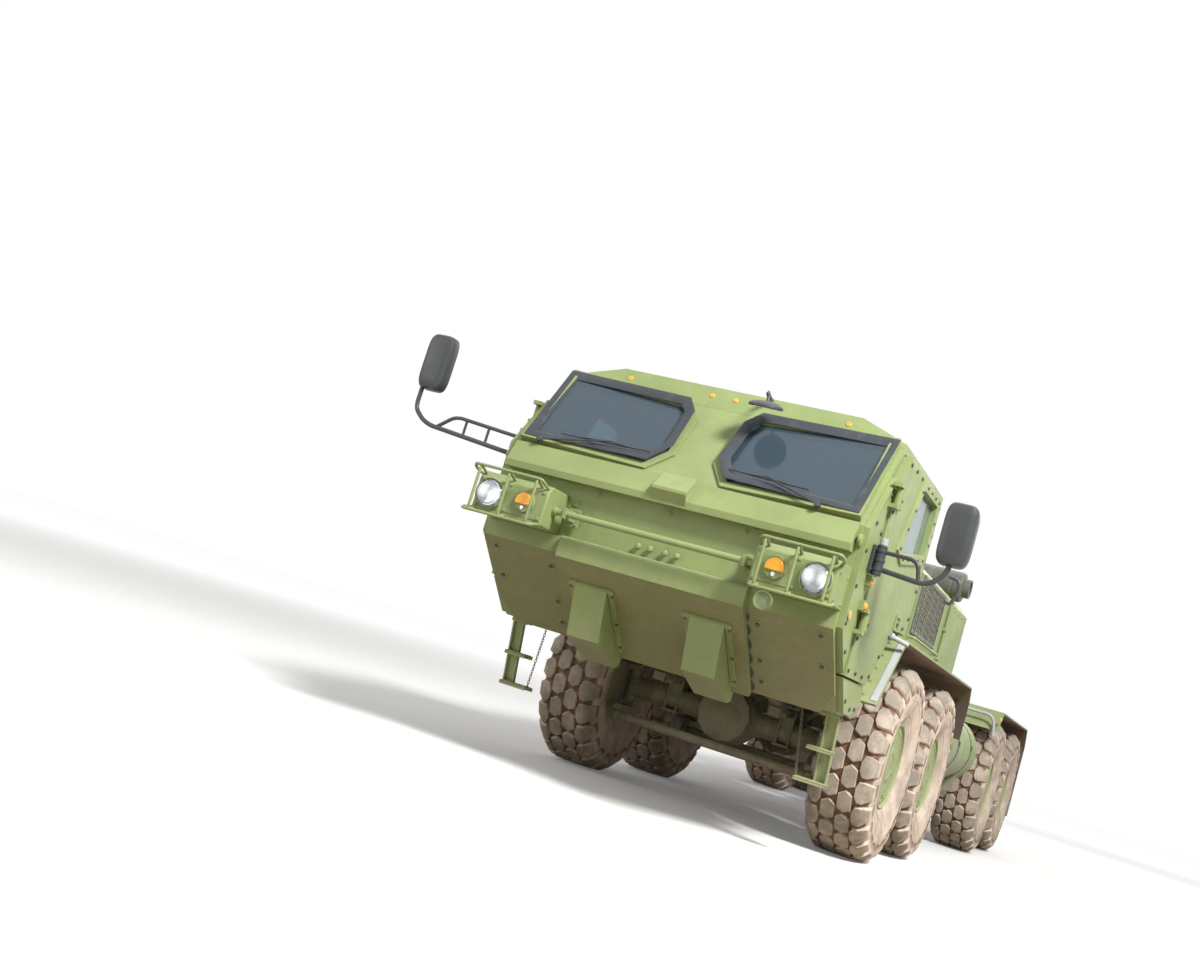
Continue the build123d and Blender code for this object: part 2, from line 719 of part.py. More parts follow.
# side, tube radius, sides, route as (distance out from the clamp, z)
MIRROR_TUBES = (
    (1, ARM_TUBE, TUBE_SIDES, ((0, 1700), (255, 1678), (305, 1694), (356, 1742), (374, 1790), (374, 1860))),
    (1, BRANCH_TUBE, BRANCH_SIDES, ((0, 1797), (178, 1795), (213, 1774), (237, 1681))),
    (-1, ARM_TUBE, TUBE_SIDES, ((0, 1828), (665, 1886), (732, 1912), (794, 1966), (807, 2010), (807, 2150))),
    (-1, BRANCH_TUBE, BRANCH_SIDES, ((0, 1943), (460, 1976), (510, 1966), (617, 1882))),
    (-1, RUNG_TUBE, LOOP_SIDES, ((237, 1850), (237, 1960))),
    (-1, RUNG_TUBE, LOOP_SIDES, ((407, 1864), (407, 1972))),
)

with BuildPart() as mirrors:
    for side, clamp_z, out, z, width, height in MIRROR_CASES:
        radius, clamp_height = MIRROR_CLAMP
        low = clamp_z - clamp_height / 2
        high = clamp_z + clamp_height / 2
        across = (side * PLATE_OUTER, side * MIRROR_MOUNT_X)
        block(across, (MIRROR_Y - radius, MIRROR_Y + radius), (low + 20, high - 20))
        ends = ((side * MIRROR_MOUNT_X, MIRROR_Y, low), (side * MIRROR_MOUNT_X, MIRROR_Y, high))
        bar(*ends, radius, sides=BOSS_SIDES)
        block(
            (side * (MIRROR_MOUNT_X + out) - width / 2, side * (MIRROR_MOUNT_X + out) + width / 2),
            (MIRROR_Y - MIRROR_DEPTH / 2, MIRROR_Y + MIRROR_DEPTH / 2),
            (z - height / 2, z + height / 2),
        )
    corners = mirrors.edges().filter_by(Axis.Y).filter_by(lambda e: abs(e.length - MIRROR_DEPTH) < 1)
    chamfer(corners, MIRROR_CORNER)
    for side, radius, sides, route in MIRROR_TUBES:
        tube_path([(side * (MIRROR_MOUNT_X + out), MIRROR_Y, z) for out, z in route], radius, sides)
save(mirrors.part, "mirrors")

# Boarding ladders hung under the nose's corners
LADDER_TOP = (Y1 - 1522, CHIN_BOTTOM)
LADDER_FOOT = (Y1 - 1407, 446)
LADDER_X = (CAB_HALF - 80, CAB_HALF)
TREADS = ((640, Y1 - 1460, 150), (446, Y1 - 1407, 190))

with BuildPart() as ladders:
    for side in (1, -1):
        side_prism(
            (
                (LADDER_TOP[0] - 16, LADDER_TOP[1]),
                (LADDER_TOP[0] + 16, LADDER_TOP[1]),
                (LADDER_FOOT[0] + 16, LADDER_FOOT[1]),
                (LADDER_FOOT[0] - 16, LADDER_FOOT[1]),
            ),
            side * LADDER_X[0],
            side * LADDER_X[1],
        )
        for height, y, width in TREADS:
            block((side * (LADDER_X[1] - width), side * LADDER_X[1]), (y - 60, y + 60), (height, height + 24))
        block(
            (side * (LADDER_X[0] - 40), side * LADDER_X[1]),
            (LADDER_TOP[0] - 30, LADDER_TOP[0] + 30),
            (CHIN_BOTTOM - 24, CHIN_BOTTOM),
        )
save(ladders.part, "ladders")

# Front fenders over the steered wheels, and the flaps behind both groups of wheels
FENDER_OUTER = CAB_HALF + 122
FLAP_INNER = 790
FENDER_INNER = 640
FENDER_SHEET = 14
FENDER_TOP = HOUSING_BOTTOM
FENDER_REAR = Y2 + 766
FENDER_LIP = 1330
FLAP_THICKNESS = 12

with BuildPart() as front_fenders:
    under = FENDER_TOP - FENDER_SHEET
    for side in (1, -1):
        side_prism(
            (
                (Y1 - 1262, 1000),
                (Y1 - 1240, 990),
                (Y1 - 826, under),
                (CAB_REAR, under),
                (CAB_REAR, FENDER_TOP),
                (Y1 - 834, FENDER_TOP),
            ),
            side * CAB_HALF,
            side * FENDER_OUTER,
        )
        side_prism(
            (
                (CAB_REAR, under),
                (FENDER_REAR, under),
                (FENDER_REAR + 76, FENDER_LIP),
                (FENDER_REAR + 90, FENDER_LIP + 6),
                (FENDER_REAR + 8, FENDER_TOP),
                (CAB_REAR, FENDER_TOP),
            ),
            side * FENDER_INNER,
            side * FENDER_OUTER,
        )
save(front_fenders.part, "front_fenders")

REAR_FENDER_TOP = 1440
REAR_FENDER_LIP = 1240
REAR_FENDER = (Y3 - 640, Y4 + 700)
FENDER_ARM = 28
FENDER_ARM_SIDES = 6
FENDER_ARM_X = 700
FENDER_ARM_Z = 1100

with BuildPart() as rear_fenders:
    for side in (1, -1):
        front, rear = REAR_FENDER
        under = REAR_FENDER_TOP - FENDER_SHEET
        side_prism(
            (
                (front, REAR_FENDER_LIP),
                (front + 14, REAR_FENDER_LIP),
                (front + 190, under),
                (rear - 190, under),
                (rear - 14, REAR_FENDER_LIP),
                (rear, REAR_FENDER_LIP),
                (rear - 182, REAR_FENDER_TOP),
                (front + 182, REAR_FENDER_TOP),
            ),
            side * FENDER_INNER,
            side * FENDER_OUTER,
        )
        for y in (Y3 - 380, (Y3 + Y4) / 2, Y4 + 380):
            root = (side * RAIL_X, y, FENDER_ARM_Z)
            corner = (side * FENDER_ARM_X, y, FENDER_ARM_Z)
            top = (side * FENDER_ARM_X, y, under + 2)
            bar(root, corner, FENDER_ARM, sides=FENDER_ARM_SIDES)
            bar(corner, top, FENDER_ARM, sides=FENDER_ARM_SIDES)
save(rear_fenders.part, "rear_fenders")

with BuildPart() as mud_flaps:
    for side in (1, -1):
        across = (side * FLAP_INNER, side * FENDER_OUTER)
        block(across, (FENDER_REAR + 76, FENDER_REAR + 76 + FLAP_THICKNESS), (1010, FENDER_LIP))
        block(across, (REAR_FENDER[1] - 13, REAR_FENDER[1] - 13 + FLAP_THICKNESS), (420, REAR_FENDER_LIP))
save(mud_flaps.part, "mud_flaps")

# Engine: one plain block at its place on the frame, under the housing behind the cab
with BuildPart() as engine_block:
    block((-380, 380), (Y1 - 180, Y1 + 1250), (RAIL_TOP, 1920))
save(engine_block.part, "engine_block")

with BuildPart() as engine_housing:
    half = HOUSING_HALF
    with BuildSketch(Plane.XZ.offset(-HOUSING_REAR)) as section:
        Polygon(
            (-half, HOUSING_BOTTOM),
            (half, HOUSING_BOTTOM),
            (half, HOUSING_TOP - 60),
            (half - 60, HOUSING_TOP),
            (60 - half, HOUSING_TOP),
            (-half, HOUSING_TOP - 60),
            align=None,
        )
    extrude(amount=HOUSING_REAR - HOUSING_FRONT)
    block(
        (HOUSING_WALL - half, half - HOUSING_WALL),
        (HOUSING_FRONT + HOUSING_WALL, HOUSING_REAR - HOUSING_WALL),
        (HOUSING_BOTTOM - 1, HOUSING_TOP - 72),
        Mode.SUBTRACT,
    )
    block((-half - 1, half + 1), GRILLE[:2], GRILLE[2:], Mode.SUBTRACT)
save(engine_housing.part, "engine_housing")

# Grilles: a frame seated in each opening of the housing, with upright slats across it
SLAT_COUNT = 14
SLAT_WIDTH = 16
GRILLE_FRAME = 28
GRILLE_PROUD = 10

with BuildPart() as side_grilles:
    y_from, y_to, z_from, z_to = GRILLE
    pitch = (y_to - y_from) / SLAT_COUNT
    for side in (1, -1):
        outer = side * (half + GRILLE_PROUD)
        block((side * (half - HOUSING_WALL), outer), GRILLE[:2], GRILLE[2:])
        for i in range(SLAT_COUNT):
            y = y_from + i * pitch
            block(
                (side * (half - 2 * HOUSING_WALL), outer + side),
                (y + SLAT_WIDTH / 2 if i else y + GRILLE_FRAME, y + pitch - SLAT_WIDTH / 2),
                (z_from + GRILLE_FRAME, z_to - GRILLE_FRAME),
                Mode.SUBTRACT,
            )
save(side_grilles.part, "side_grilles")

# Air cleaner lying across the housing, on two saddles
CLEANER_RADIUS = 120
CLEANER_Y = Y1 + 1500
CLEANER_Z = HOUSING_TOP + CLEANER_RADIUS + 12

with BuildPart() as air_cleaner:
    bar((300, CLEANER_Y, CLEANER_Z), (1080, CLEANER_Y, CLEANER_Z), CLEANER_RADIUS, sides=LAMP_SIDES)
    bar((1079, CLEANER_Y, CLEANER_Z), (1130, CLEANER_Y, CLEANER_Z), CLEANER_RADIUS - 45, sides=BOSS_SIDES)
    for x in (450, 900):
        block((x - 25, x + 25), (CLEANER_Y - 90, CLEANER_Y + 90), (HOUSING_TOP, HOUSING_TOP + 70))
save(air_cleaner.part, "air_cleaner")

# Fuel tank on the left, dished at both ends, in two cradles from the frame
DISH = 34
DISH_TAPER = 55
TANK_TURN = 180 / TANK_SIDES
with BuildPart() as fuel_tank:
    front = TANK_FRONT + DISH
    rear = TANK_FRONT + TANK_LENGTH - DISH
    for start, facing, length, taper in (
        (rear, -1, rear - front, 0),
        (front, -1, DISH, DISH_TAPER),
        (rear, 1, DISH, DISH_TAPER),
    ):
        with BuildSketch(Plane(origin=(TANK_X, start, TANK_Z), z_dir=(0, facing, 0), x_dir=(1, 0, 0))) as end:
            RegularPolygon(TANK_RADIUS, TANK_SIDES, rotation=TANK_TURN)
        extrude(end.sketch, amount=length, taper=taper)
save(fuel_tank.part, "fuel_tank")

CRADLE_WIDTH = 70
CRADLE_INSET = 380
CRADLE_BOTTOM = 560
CRADLE_REACH = TANK_X + 220
with BuildPart() as tank_cradles:
    for y in (TANK_FRONT + CRADLE_INSET, TANK_FRONT + TANK_LENGTH - CRADLE_INSET):
        with BuildSketch(Plane.XZ.offset(-(y + CRADLE_WIDTH / 2))) as cradle:
            Polygon(
                (RAIL_X, 1150),
                (RAIL_X + 60, 1150),
                (RAIL_X + 90, CRADLE_BOTTOM + 160),
                (CRADLE_REACH, CRADLE_BOTTOM + 160),
                (CRADLE_REACH, CRADLE_BOTTOM),
                (RAIL_X + 40, CRADLE_BOTTOM),
                (RAIL_X, RAIL_BOTTOM),
                align=None,
            )
            with Locations((TANK_X, TANK_Z)):
                RegularPolygon(TANK_RADIUS + RUNNING_GAP, TANK_SIDES, rotation=TANK_TURN, mode=Mode.SUBTRACT)
        extrude(amount=CRADLE_WIDTH)
save(tank_cradles.part, "tank_cradles")

# On the right: a battery box, then two air tanks between end plates, all fixed to the frame
BATTERY_BOX = ((-1165, -RAIL_X), (Y1 + 2480, Y1 + 3300), (700, 1180))
AIR_TANKS = (700, 980)
AIR_TANK_RADIUS = 125
AIR_TANK_Z = 950
AIR_TANK_ENDS = (Y1 + 3390, Y1 + 4260)
END_PLATE = 60
with BuildPart() as service_boxes:
    block(*BATTERY_BOX)
    for edge, out in zip(AIR_TANK_ENDS, (-END_PLATE, END_PLATE)):
        block((-1120, -RAIL_X), (edge, edge + out), (AIR_TANK_Z - 190, AIR_TANK_Z + 200))
    for x in AIR_TANKS:
        start = (-x, AIR_TANK_ENDS[0] - 1, AIR_TANK_Z)
        bar(start, (-x, AIR_TANK_ENDS[1] + 1, AIR_TANK_Z), AIR_TANK_RADIUS, sides=BOSS_SIDES)
save(service_boxes.part, "service_boxes")


# Running gear: axle tubes, differentials, leaf springs, their hangers and the drive shafts
SHAFT_RADIUS = 52
SHAFT_SIDES = 6
SHAFT_Z = HUB_Z + 40
SPRING_SAG = 105
SPRING_THICKNESS = 46
SPRING_BOW = ((-1, 1), (-0.4, 0.1), (0.4, 0.1), (1, 1))
SPRING_SEAT = 100
SPRING_SEAT_HALF = 70
DIFF_HALF = 170
HUB_FLANGE = (150, 40)
KNUCKLE_WEB = 50
HUB_FACE = TRACK / 2 - HUB_INSET - RUNNING_GAP
HANGER_BOTTOM = HUB_Z + SPRING_SEAT + SPRING_SAG + 10
TRANSFER_CASE = (Y1 + 2750, Y1 + 3250)
TRANSFER_CASE_HALF = 190
TRANSFER_CASE_BOTTOM = 640
# place along the truck, half length of the hanger's foot
HANGERS = (
    (Y1 - SPRING_HALF, 50),
    ((Y1 + Y2) / 2, 150),
    (Y2 + SPRING_HALF, 50),
    (Y3 - SPRING_HALF, 50),
    ((Y3 + Y4) / 2, 150),
    (Y4 + SPRING_HALF, 50),
)

with BuildPart() as running_gear:
    spring_side = Plane.YZ.offset(SPRING_X - SPRING_WIDTH / 2)
    with BuildSketch(spring_side) as leaves:
        for number, y in AXLES:
            low = HUB_Z + SPRING_SEAT
            bow = [(y + out * SPRING_HALF, low + rise * SPRING_SAG) for out, rise in SPRING_BOW]
            with BuildLine():
                Polyline(*bow, *[(at, z + SPRING_THICKNESS) for at, z in reversed(bow)], close=True)
            make_face()
            with Locations((y, HUB_Z + (SPRING_SEAT + SPRING_THICKNESS) / 2)):
                Rectangle(2 * SPRING_SEAT_HALF, SPRING_SEAT + SPRING_THICKNESS)
    extrude(amount=SPRING_WIDTH)
    with BuildSketch(spring_side) as feet:
        for y, foot in HANGERS:
            with Locations((y, (HANGER_BOTTOM + RAIL_BOTTOM) / 2)):
                Rectangle(2 * foot, RAIL_BOTTOM - HANGER_BOTTOM)
    extrude(amount=RAIL_X - SPRING_X + SPRING_WIDTH / 2)
    for number, y in AXLES:
        if number < 3:
            bar((0, y, HUB_Z), (KINGPIN_X, y, HUB_Z), AXLE_TUBE_RADIUS, sides=TUBE_SIDES)
            foot = (KINGPIN_X, y, HUB_Z - KINGPIN_HALF_HEIGHT)
            bar(foot, (KINGPIN_X, y, HUB_Z + KINGPIN_HALF_HEIGHT), KINGPIN_RADIUS)
        else:
            bar((0, y, HUB_Z), (HUB_FACE, y, HUB_Z), AXLE_TUBE_RADIUS, sides=TUBE_SIDES)
            bar((HUB_FACE - HUB_FLANGE[1], y, HUB_Z), (HUB_FACE, y, HUB_Z), HUB_FLANGE[0], sides=TUBE_SIDES)
    mirror(about=Plane.YZ)
    for number, y in AXLES:
        bar((0, y - DIFF_HALF, HUB_Z), (0, y + DIFF_HALF, HUB_Z), DIFF_RADIUS, sides=BOSS_SIDES)
    case_half = (-TRANSFER_CASE_HALF, TRANSFER_CASE_HALF)
    block(case_half, TRANSFER_CASE, (TRANSFER_CASE_BOTTOM, RAIL_BOTTOM + RAIL_WALL))
    block(
        (RAIL_WALL - RAIL_X, RAIL_X - RAIL_WALL),
        (TRANSFER_CASE[0] + 180, TRANSFER_CASE[1] - 180),
        (RAIL_BOTTOM + RAIL_WALL, RAIL_BOTTOM + 60),
    )
    for start, end in (
        (Y1 + DIFF_HALF, Y2 - DIFF_HALF),
        (Y2 + DIFF_HALF, TRANSFER_CASE[0]),
        (TRANSFER_CASE[1], Y3 - DIFF_HALF),
        (Y3 + DIFF_HALF, Y4 - DIFF_HALF),
    ):
        bar((0, start - 1, SHAFT_Z), (0, end + 1, SHAFT_Z), SHAFT_RADIUS, sides=SHAFT_SIDES)
save(running_gear.part, "running_gear")

# Steering knuckles on the two front axles and the tie rod between each pair
ARM_DROP = 186
ARM_HALF = 36
JOINT_GAP = 0.5
BALL_RADIUS = 38
TIE_Z = HUB_Z - ARM_DROP - JOINT_GAP - BALL_RADIUS
TIE_X = KINGPIN_X - 50

for number, y in AXLES[:2]:
    for name, side in SIDES:
        with BuildPart() as knuckle:
            for end in (1, -1):
                block(
                    (side * (KINGPIN_X - 60), side * (KINGPIN_X + KNUCKLE_WEB + 1)),
                    (y - 60, y + 60),
                    (HUB_Z + end * (KINGPIN_HALF_HEIGHT + RUNNING_GAP), HUB_Z + end * 150),
                )
            block(
                (side * (KINGPIN_X + KNUCKLE_WEB), side * HUB_FACE),
                (y - 140, y + 140),
                (HUB_Z - 150, HUB_Z + 150),
            )
            block(
                (side * (TIE_X - ARM_HALF), side * (TIE_X + ARM_HALF)),
                (y - STEER_ARM_REACH - ARM_HALF, y + 60),
                (HUB_Z - ARM_DROP, HUB_Z - 149),
            )
        save(knuckle.part, f"knuckle_{number}_{name}")
    with BuildPart() as tie_rod:
        rod_y = y - STEER_ARM_REACH
        bar((-TIE_X, rod_y, TIE_Z), (TIE_X, rod_y, TIE_Z), TIE_ROD_RADIUS, sides=TUBE_SIDES)
        for x in (-TIE_X, TIE_X):
            foot = (x, rod_y, TIE_Z - BALL_RADIUS)
            bar(foot, (x, rod_y, TIE_Z + BALL_RADIUS), BALL_RADIUS, sides=TUBE_SIDES)
    save(tie_rod.part, f"tie_rod_{number}")

# Wheels: a lugged tyre and a covered rim, made once and set at each hub
SECTOR = 360 / WHEEL_SIDES
FLAT_DOWN = SECTOR / 2
LUG_PHASE = SECTOR / 4
TYRE_OUTLINE = (
    (BEAD_WIDTH / 2, RIM_RADIUS),
    (TYRE_WIDTH / 2, SHOULDER_RADIUS),
    (TREAD_WIDTH / 2, TYRE_RADIUS),
    (-TREAD_WIDTH / 2, TYRE_RADIUS),
    (-TYRE_WIDTH / 2, SHOULDER_RADIUS),
    (-BEAD_WIDTH / 2, RIM_RADIUS),
)

# A groove between lugs: a V drawn at the shoulder that runs out towards the tread's middle
LUG_GROOVE_RISE = 12
LUG_RUN_OUT = 1.25
with BuildPart() as lug_groove:
    with BuildSketch(Plane.YZ.offset(TYRE_WIDTH / 2 + 1)) as groove_mouth:
        flank = LUG_GROOVE_WIDTH / 2 * (LUG_GROOVE_DEPTH + LUG_GROOVE_RISE) / LUG_GROOVE_DEPTH
        Polygon(
            (0, HUB_Z - LUG_GROOVE_DEPTH),
            (flank, HUB_Z + LUG_GROOVE_RISE),
            (-flank, HUB_Z + LUG_GROOVE_RISE),
            align=None,
        )
    run_out = Vector(-LUG_GROOVE_LENGTH, 0, LUG_GROOVE_DEPTH)
    extrude(amount=LUG_RUN_OUT * run_out.length, dir=run_out)
opposite_groove = mirror(lug_groove.part, about=Plane.YZ)

# One flat-sided sector of the tyre, standing over the hub, with a groove in each shoulder
with BuildPart() as tyre_sector:
    with BuildSketch(Plane.XZ):
        flat = cos(radians(FLAT_DOWN))
        Polygon(*[(x, radius * flat) for x, radius in TYRE_OUTLINE], align=None)
    extrude(amount=TYRE_RADIUS * sin(radians(FLAT_DOWN)), both=True)
    for turn in (FLAT_DOWN, -FLAT_DOWN):
        edge = Plane.XZ.rotated((turn, 0, 0))
        split(bisect_by=edge, keep=Keep.BOTTOM if turn > 0 else Keep.TOP)
    add(lug_groove.part.rotate(Axis.X, LUG_PHASE), mode=Mode.SUBTRACT)
    add(opposite_groove.rotate(Axis.X, -LUG_PHASE), mode=Mode.SUBTRACT)

with BuildPart() as tyre:
    with Locations(*[Location((0, 0, 0), (turn * SECTOR, 0, 0)) for turn in range(WHEEL_SIDES)]):
        add(tyre_sector.part)

# Rim: a barrel closed flush by its disc outside, open inside round the hub
BARREL_BORE = 262
DISC_THICKNESS = 58
HUB_RADIUS = 150

with BuildPart() as rim:
    with BuildSketch(Plane.YZ.offset(-BEAD_WIDTH / 2)):
        RegularPolygon(RIM_RADIUS, WHEEL_SIDES, rotation=FLAT_DOWN)
    extrude(amount=BEAD_WIDTH)
    with BuildSketch(Plane.YZ.offset(-BEAD_WIDTH / 2)):
        RegularPolygon(BARREL_BORE, BOSS_SIDES)
        RegularPolygon(HUB_RADIUS, BOSS_SIDES, mode=Mode.SUBTRACT)
    extrude(amount=BEAD_WIDTH - DISC_THICKNESS, mode=Mode.SUBTRACT)
    with BuildSketch(Plane.YZ.offset(-BEAD_WIDTH / 2)):
        RegularPolygon(HUB_RADIUS, BOSS_SIDES)
    extrude(amount=BEAD_WIDTH / 2 - HUB_INSET, mode=Mode.SUBTRACT)

for number, y in AXLES:
    for name, side in SIDES:
        place = Location((side * TRACK / 2, y, HUB_Z), (0, 0, 0 if side > 0 else 180))
        save(tyre.part.moved(place), f"tyre_{number}_{name}")
        save(rim.part.moved(place), f"rim_{number}_{name}")

# Load handler: fixed subframe with the rear rollers, the pivot brackets and pins
ROLLER_Y = Y1 + 7600
CROSSBARS = (Y1 + 2300, Y1 + 3300, Y1 + 6650, PIVOT_Y, ROLLER_Y)
BAR_TOP = 1240
SUB_FRONT = Y1 + 2250
PIVOT_BRACKET = (250, 300)
PIVOT_REACH = 260
RAM_PIN = 30
ROLLER_RADIUS = 60
ROLLER_Z = 1378
ROLLER_X = (436, 556)

with BuildPart() as lift_subframe:
    for side in (1, -1):
        rail = (side * SUB_X, side * (SUB_X + SUB_WIDTH))
        block(rail, (SUB_FRONT, RAIL_REAR), (RAIL_TOP, SUB_TOP))
        block(
            (side * PIVOT_BRACKET[0], side * PIVOT_BRACKET[1]),
            (PIVOT_Y - 75, PIVOT_Y + 75),
            (BAR_TOP - 1, PIVOT_Z + 60),
        )
        block(rail, (RAM_BASE[0] - 60, RAM_BASE[0] + 60), (SUB_TOP - 1, RAM_BASE[1] + 45))
        bar((side * (RAM_X - 45), *RAM_BASE), (side * (SUB_X + 1), *RAM_BASE), RAM_PIN)
        block(
            (side * SUB_X, side * (ROLLER_X[1] + 30)),
            (ROLLER_Y - 60, ROLLER_Y + 60),
            (RAIL_TOP, SUB_TOP),
        )
        for x in (ROLLER_X[0] - 20, ROLLER_X[1] + 4):
            block((side * x, side * (x + 16)), (ROLLER_Y - 45, ROLLER_Y + 45), (SUB_TOP - 1, ROLLER_Z + 25))
        for reach, radius, sides in ((5, 20, SHAFT_SIDES), (0, ROLLER_RADIUS, BOSS_SIDES)):
            start = (side * (ROLLER_X[0] - reach), ROLLER_Y, ROLLER_Z)
            bar(start, (side * (ROLLER_X[1] + reach), ROLLER_Y, ROLLER_Z), radius, sides=sides)
    for y in CROSSBARS:
        block((-SUB_X - 1, SUB_X + 1), (y - 50, y + 50), (RAIL_TOP, BAR_TOP))
    bar((-PIVOT_REACH, PIVOT_Y, PIVOT_Z), (PIVOT_REACH, PIVOT_Y, PIVOT_Z), PIVOT_RADIUS)
save(lift_subframe.part, "lift_subframe")

# Middle frame: two beams from the rear pivot to the elbow
ELBOW_PIN = 35
ARM_PIN = 25
BOSS_RADIUS = 35

with BuildPart() as middle_frame:
    for side in (1, -1):
        side_prism(
            (
                (ELBOW_Y - 110, BEAM_BOTTOM + 40),
                (ELBOW_Y - 70, BEAM_BOTTOM),
                (PIVOT_Y - 20, BEAM_BOTTOM),
                (PIVOT_Y + 40, PIVOT_Z - 55),
                (PIVOT_Y + 66, PIVOT_Z),
                (PIVOT_Y + 40, PIVOT_Z + 60),
                (PIVOT_Y - 100, BEAM_TOP),
                (ELBOW_Y - 70, BEAM_TOP),
                (ELBOW_Y - 110, BEAM_TOP - 40),
            ),
            side * (BEAM_X - BEAM_WIDTH / 2),
            side * (BEAM_X + BEAM_WIDTH / 2),
        )
        bar((side * BEAM_X, *RAM_EYE), (side * (RAM_X - RAM_RADIUS - EYE_GAP), *RAM_EYE), BOSS_RADIUS)
    block((-BEAM_X, BEAM_X), (Y1 + 5250, Y1 + 5350), (BEAM_TOP - 62, BEAM_TOP))
    block((-BEAM_X, BEAM_X), (Y1 + 6500, Y1 + 6600), (BEAM_BOTTOM, BEAM_TOP))
    bar((-BEAM_X, ELBOW_Y, ELBOW_Z), (BEAM_X, ELBOW_Y, ELBOW_Z), ELBOW_PIN)
    bar((-BEAM_X, *ARM_RAM_BASE), (BEAM_X, *ARM_RAM_BASE), ARM_PIN)
    reach = BEAM_X + BEAM_WIDTH
    bar((-reach, PIVOT_Y, PIVOT_Z), (reach, PIVOT_Y, PIVOT_Z), PIVOT_RADIUS + RUNNING_GAP, Mode.SUBTRACT)
save(middle_frame.part, "middle_frame")

# Hook arm: an L of box section, turning on the elbow pin, with the hook at its top
ARM_HALF_WIDTH = 110
HOOK_THROAT = 42
ARM_BOTTOM = 1275
ARM_TOP = 1430
JIB_REAR = JIB_FRONT + JIB_DEPTH
LUG_PLATES = (70, 96)

with BuildPart() as hook_arm:
    side_prism(
        (
            (ELBOW_Y + 60, ARM_BOTTOM + 30),
            (ELBOW_Y + 60, ARM_TOP - 30),
            (ELBOW_Y + 40, ARM_TOP),
            (JIB_REAR + 160, ARM_TOP),
            (JIB_REAR, ARM_TOP + 160),
            (JIB_REAR - 30, HOOK_Z - 240),
            (JIB_FRONT + 20, HOOK_Z - 240),
            (JIB_FRONT, ARM_TOP + 100),
            (JIB_FRONT, ARM_BOTTOM + 70),
            (JIB_FRONT + 70, ARM_BOTTOM),
            (ELBOW_Y + 40, ARM_BOTTOM),
        ),
        -ARM_HALF_WIDTH,
        ARM_HALF_WIDTH,
    )
    hook_y = JIB_REAR + 40
    with BuildSketch(Plane.YZ.offset(-35)) as hook:
        Polygon(
            (JIB_FRONT + 20, HOOK_Z - 241),
            (JIB_REAR - 30, HOOK_Z - 241),
            (JIB_REAR + 60, HOOK_Z - 150),
            (JIB_REAR + 130, HOOK_Z - 60),
            (JIB_REAR + 130, HOOK_Z + 50),
            (JIB_REAR + 95, HOOK_Z + 50),
            (JIB_REAR + 82, HOOK_Z),
            (JIB_REAR - 2, HOOK_Z),
            (JIB_REAR - 30, HOOK_Z + 70),
            (JIB_FRONT + 120, HOOK_Z + 70),
            (JIB_FRONT + 60, HOOK_Z - 20),
            align=None,
        )
        with Locations((hook_y, HOOK_Z)):
            Circle(HOOK_THROAT, mode=Mode.SUBTRACT)
    extrude(amount=70)
    for side in (1, -1):
        side_prism(
            (
                (ARM_RAM_EYE[0] - 150, ARM_BOTTOM + 1),
                (ARM_RAM_EYE[0] - 40, ARM_RAM_EYE[1] - 40),
                (ARM_RAM_EYE[0] + 40, ARM_RAM_EYE[1] - 40),
                (ARM_RAM_EYE[0] + 110, ARM_BOTTOM + 1),
            ),
            side * LUG_PLATES[0],
            side * LUG_PLATES[1],
        )
    ends = ((-ARM_HALF_WIDTH, ELBOW_Y, ELBOW_Z), (ARM_HALF_WIDTH, ELBOW_Y, ELBOW_Z))
    bar(*ends, ELBOW_PIN + RUNNING_GAP, Mode.SUBTRACT)
save(hook_arm.part, "hook_arm")


# Rams: a barrel on its base pin and a rod whose eye meets the pin it drives
def along(start, end, distance):
    """The point (y, z) at a distance along the line from one pin to another."""
    length = hypot(end[0] - start[0], end[1] - start[1])
    share = distance / length
    return (start[0] + (end[0] - start[0]) * share, start[1] + (end[1] - start[1]) * share)


def ram_barrel(x, base, eye, length, radius, bore, pin, half):
    """A barrel from its base eye, bored from its mouth for the rod."""
    bar((x, *along(base, eye, pin + 25)), (x, *along(base, eye, length)), radius, sides=BOSS_SIDES)
    bar((x - half, *base), (x + half, *base), pin + 28, sides=BOSS_SIDES)
    bar((x - half, *base), (x + half, *base), pin + RUNNING_GAP, Mode.SUBTRACT)
    bar((x, *along(base, eye, pin + 90)), (x, *along(base, eye, length + 1)), bore, Mode.SUBTRACT)


def ram_rod(x, base, eye, radius, pin, half, tail):
    """A rod from its tail inside the barrel to its eye."""
    reach = hypot(eye[0] - base[0], eye[1] - base[1])
    bar((x, *along(base, eye, tail)), (x, *along(base, eye, reach - pin - 20)), radius)
    bar((x - half, *eye), (x + half, *eye), pin + 32, sides=BOSS_SIDES)
    bar((x - half, *eye), (x + half, *eye), pin, Mode.SUBTRACT)


RAM_TAIL = 200
RAM_EYE_HALF = 38
ARM_RAM_EYE_HALF = 58
ARM_EYE_PIN = 26
with BuildPart() as main_barrels:
    bore = RAM_ROD_RADIUS + RUNNING_GAP
    for side in (1, -1):
        ram_barrel(side * RAM_X, RAM_BASE, RAM_EYE, RAM_BARREL, RAM_RADIUS, bore, RAM_PIN, RAM_EYE_HALF)
save(main_barrels.part, "main_barrels")

with BuildPart() as main_rods:
    for side in (1, -1):
        ram_rod(side * RAM_X, RAM_BASE, RAM_EYE, RAM_ROD_RADIUS, BOSS_RADIUS, RAM_EYE_HALF, RAM_TAIL)
save(main_rods.part, "main_rods")

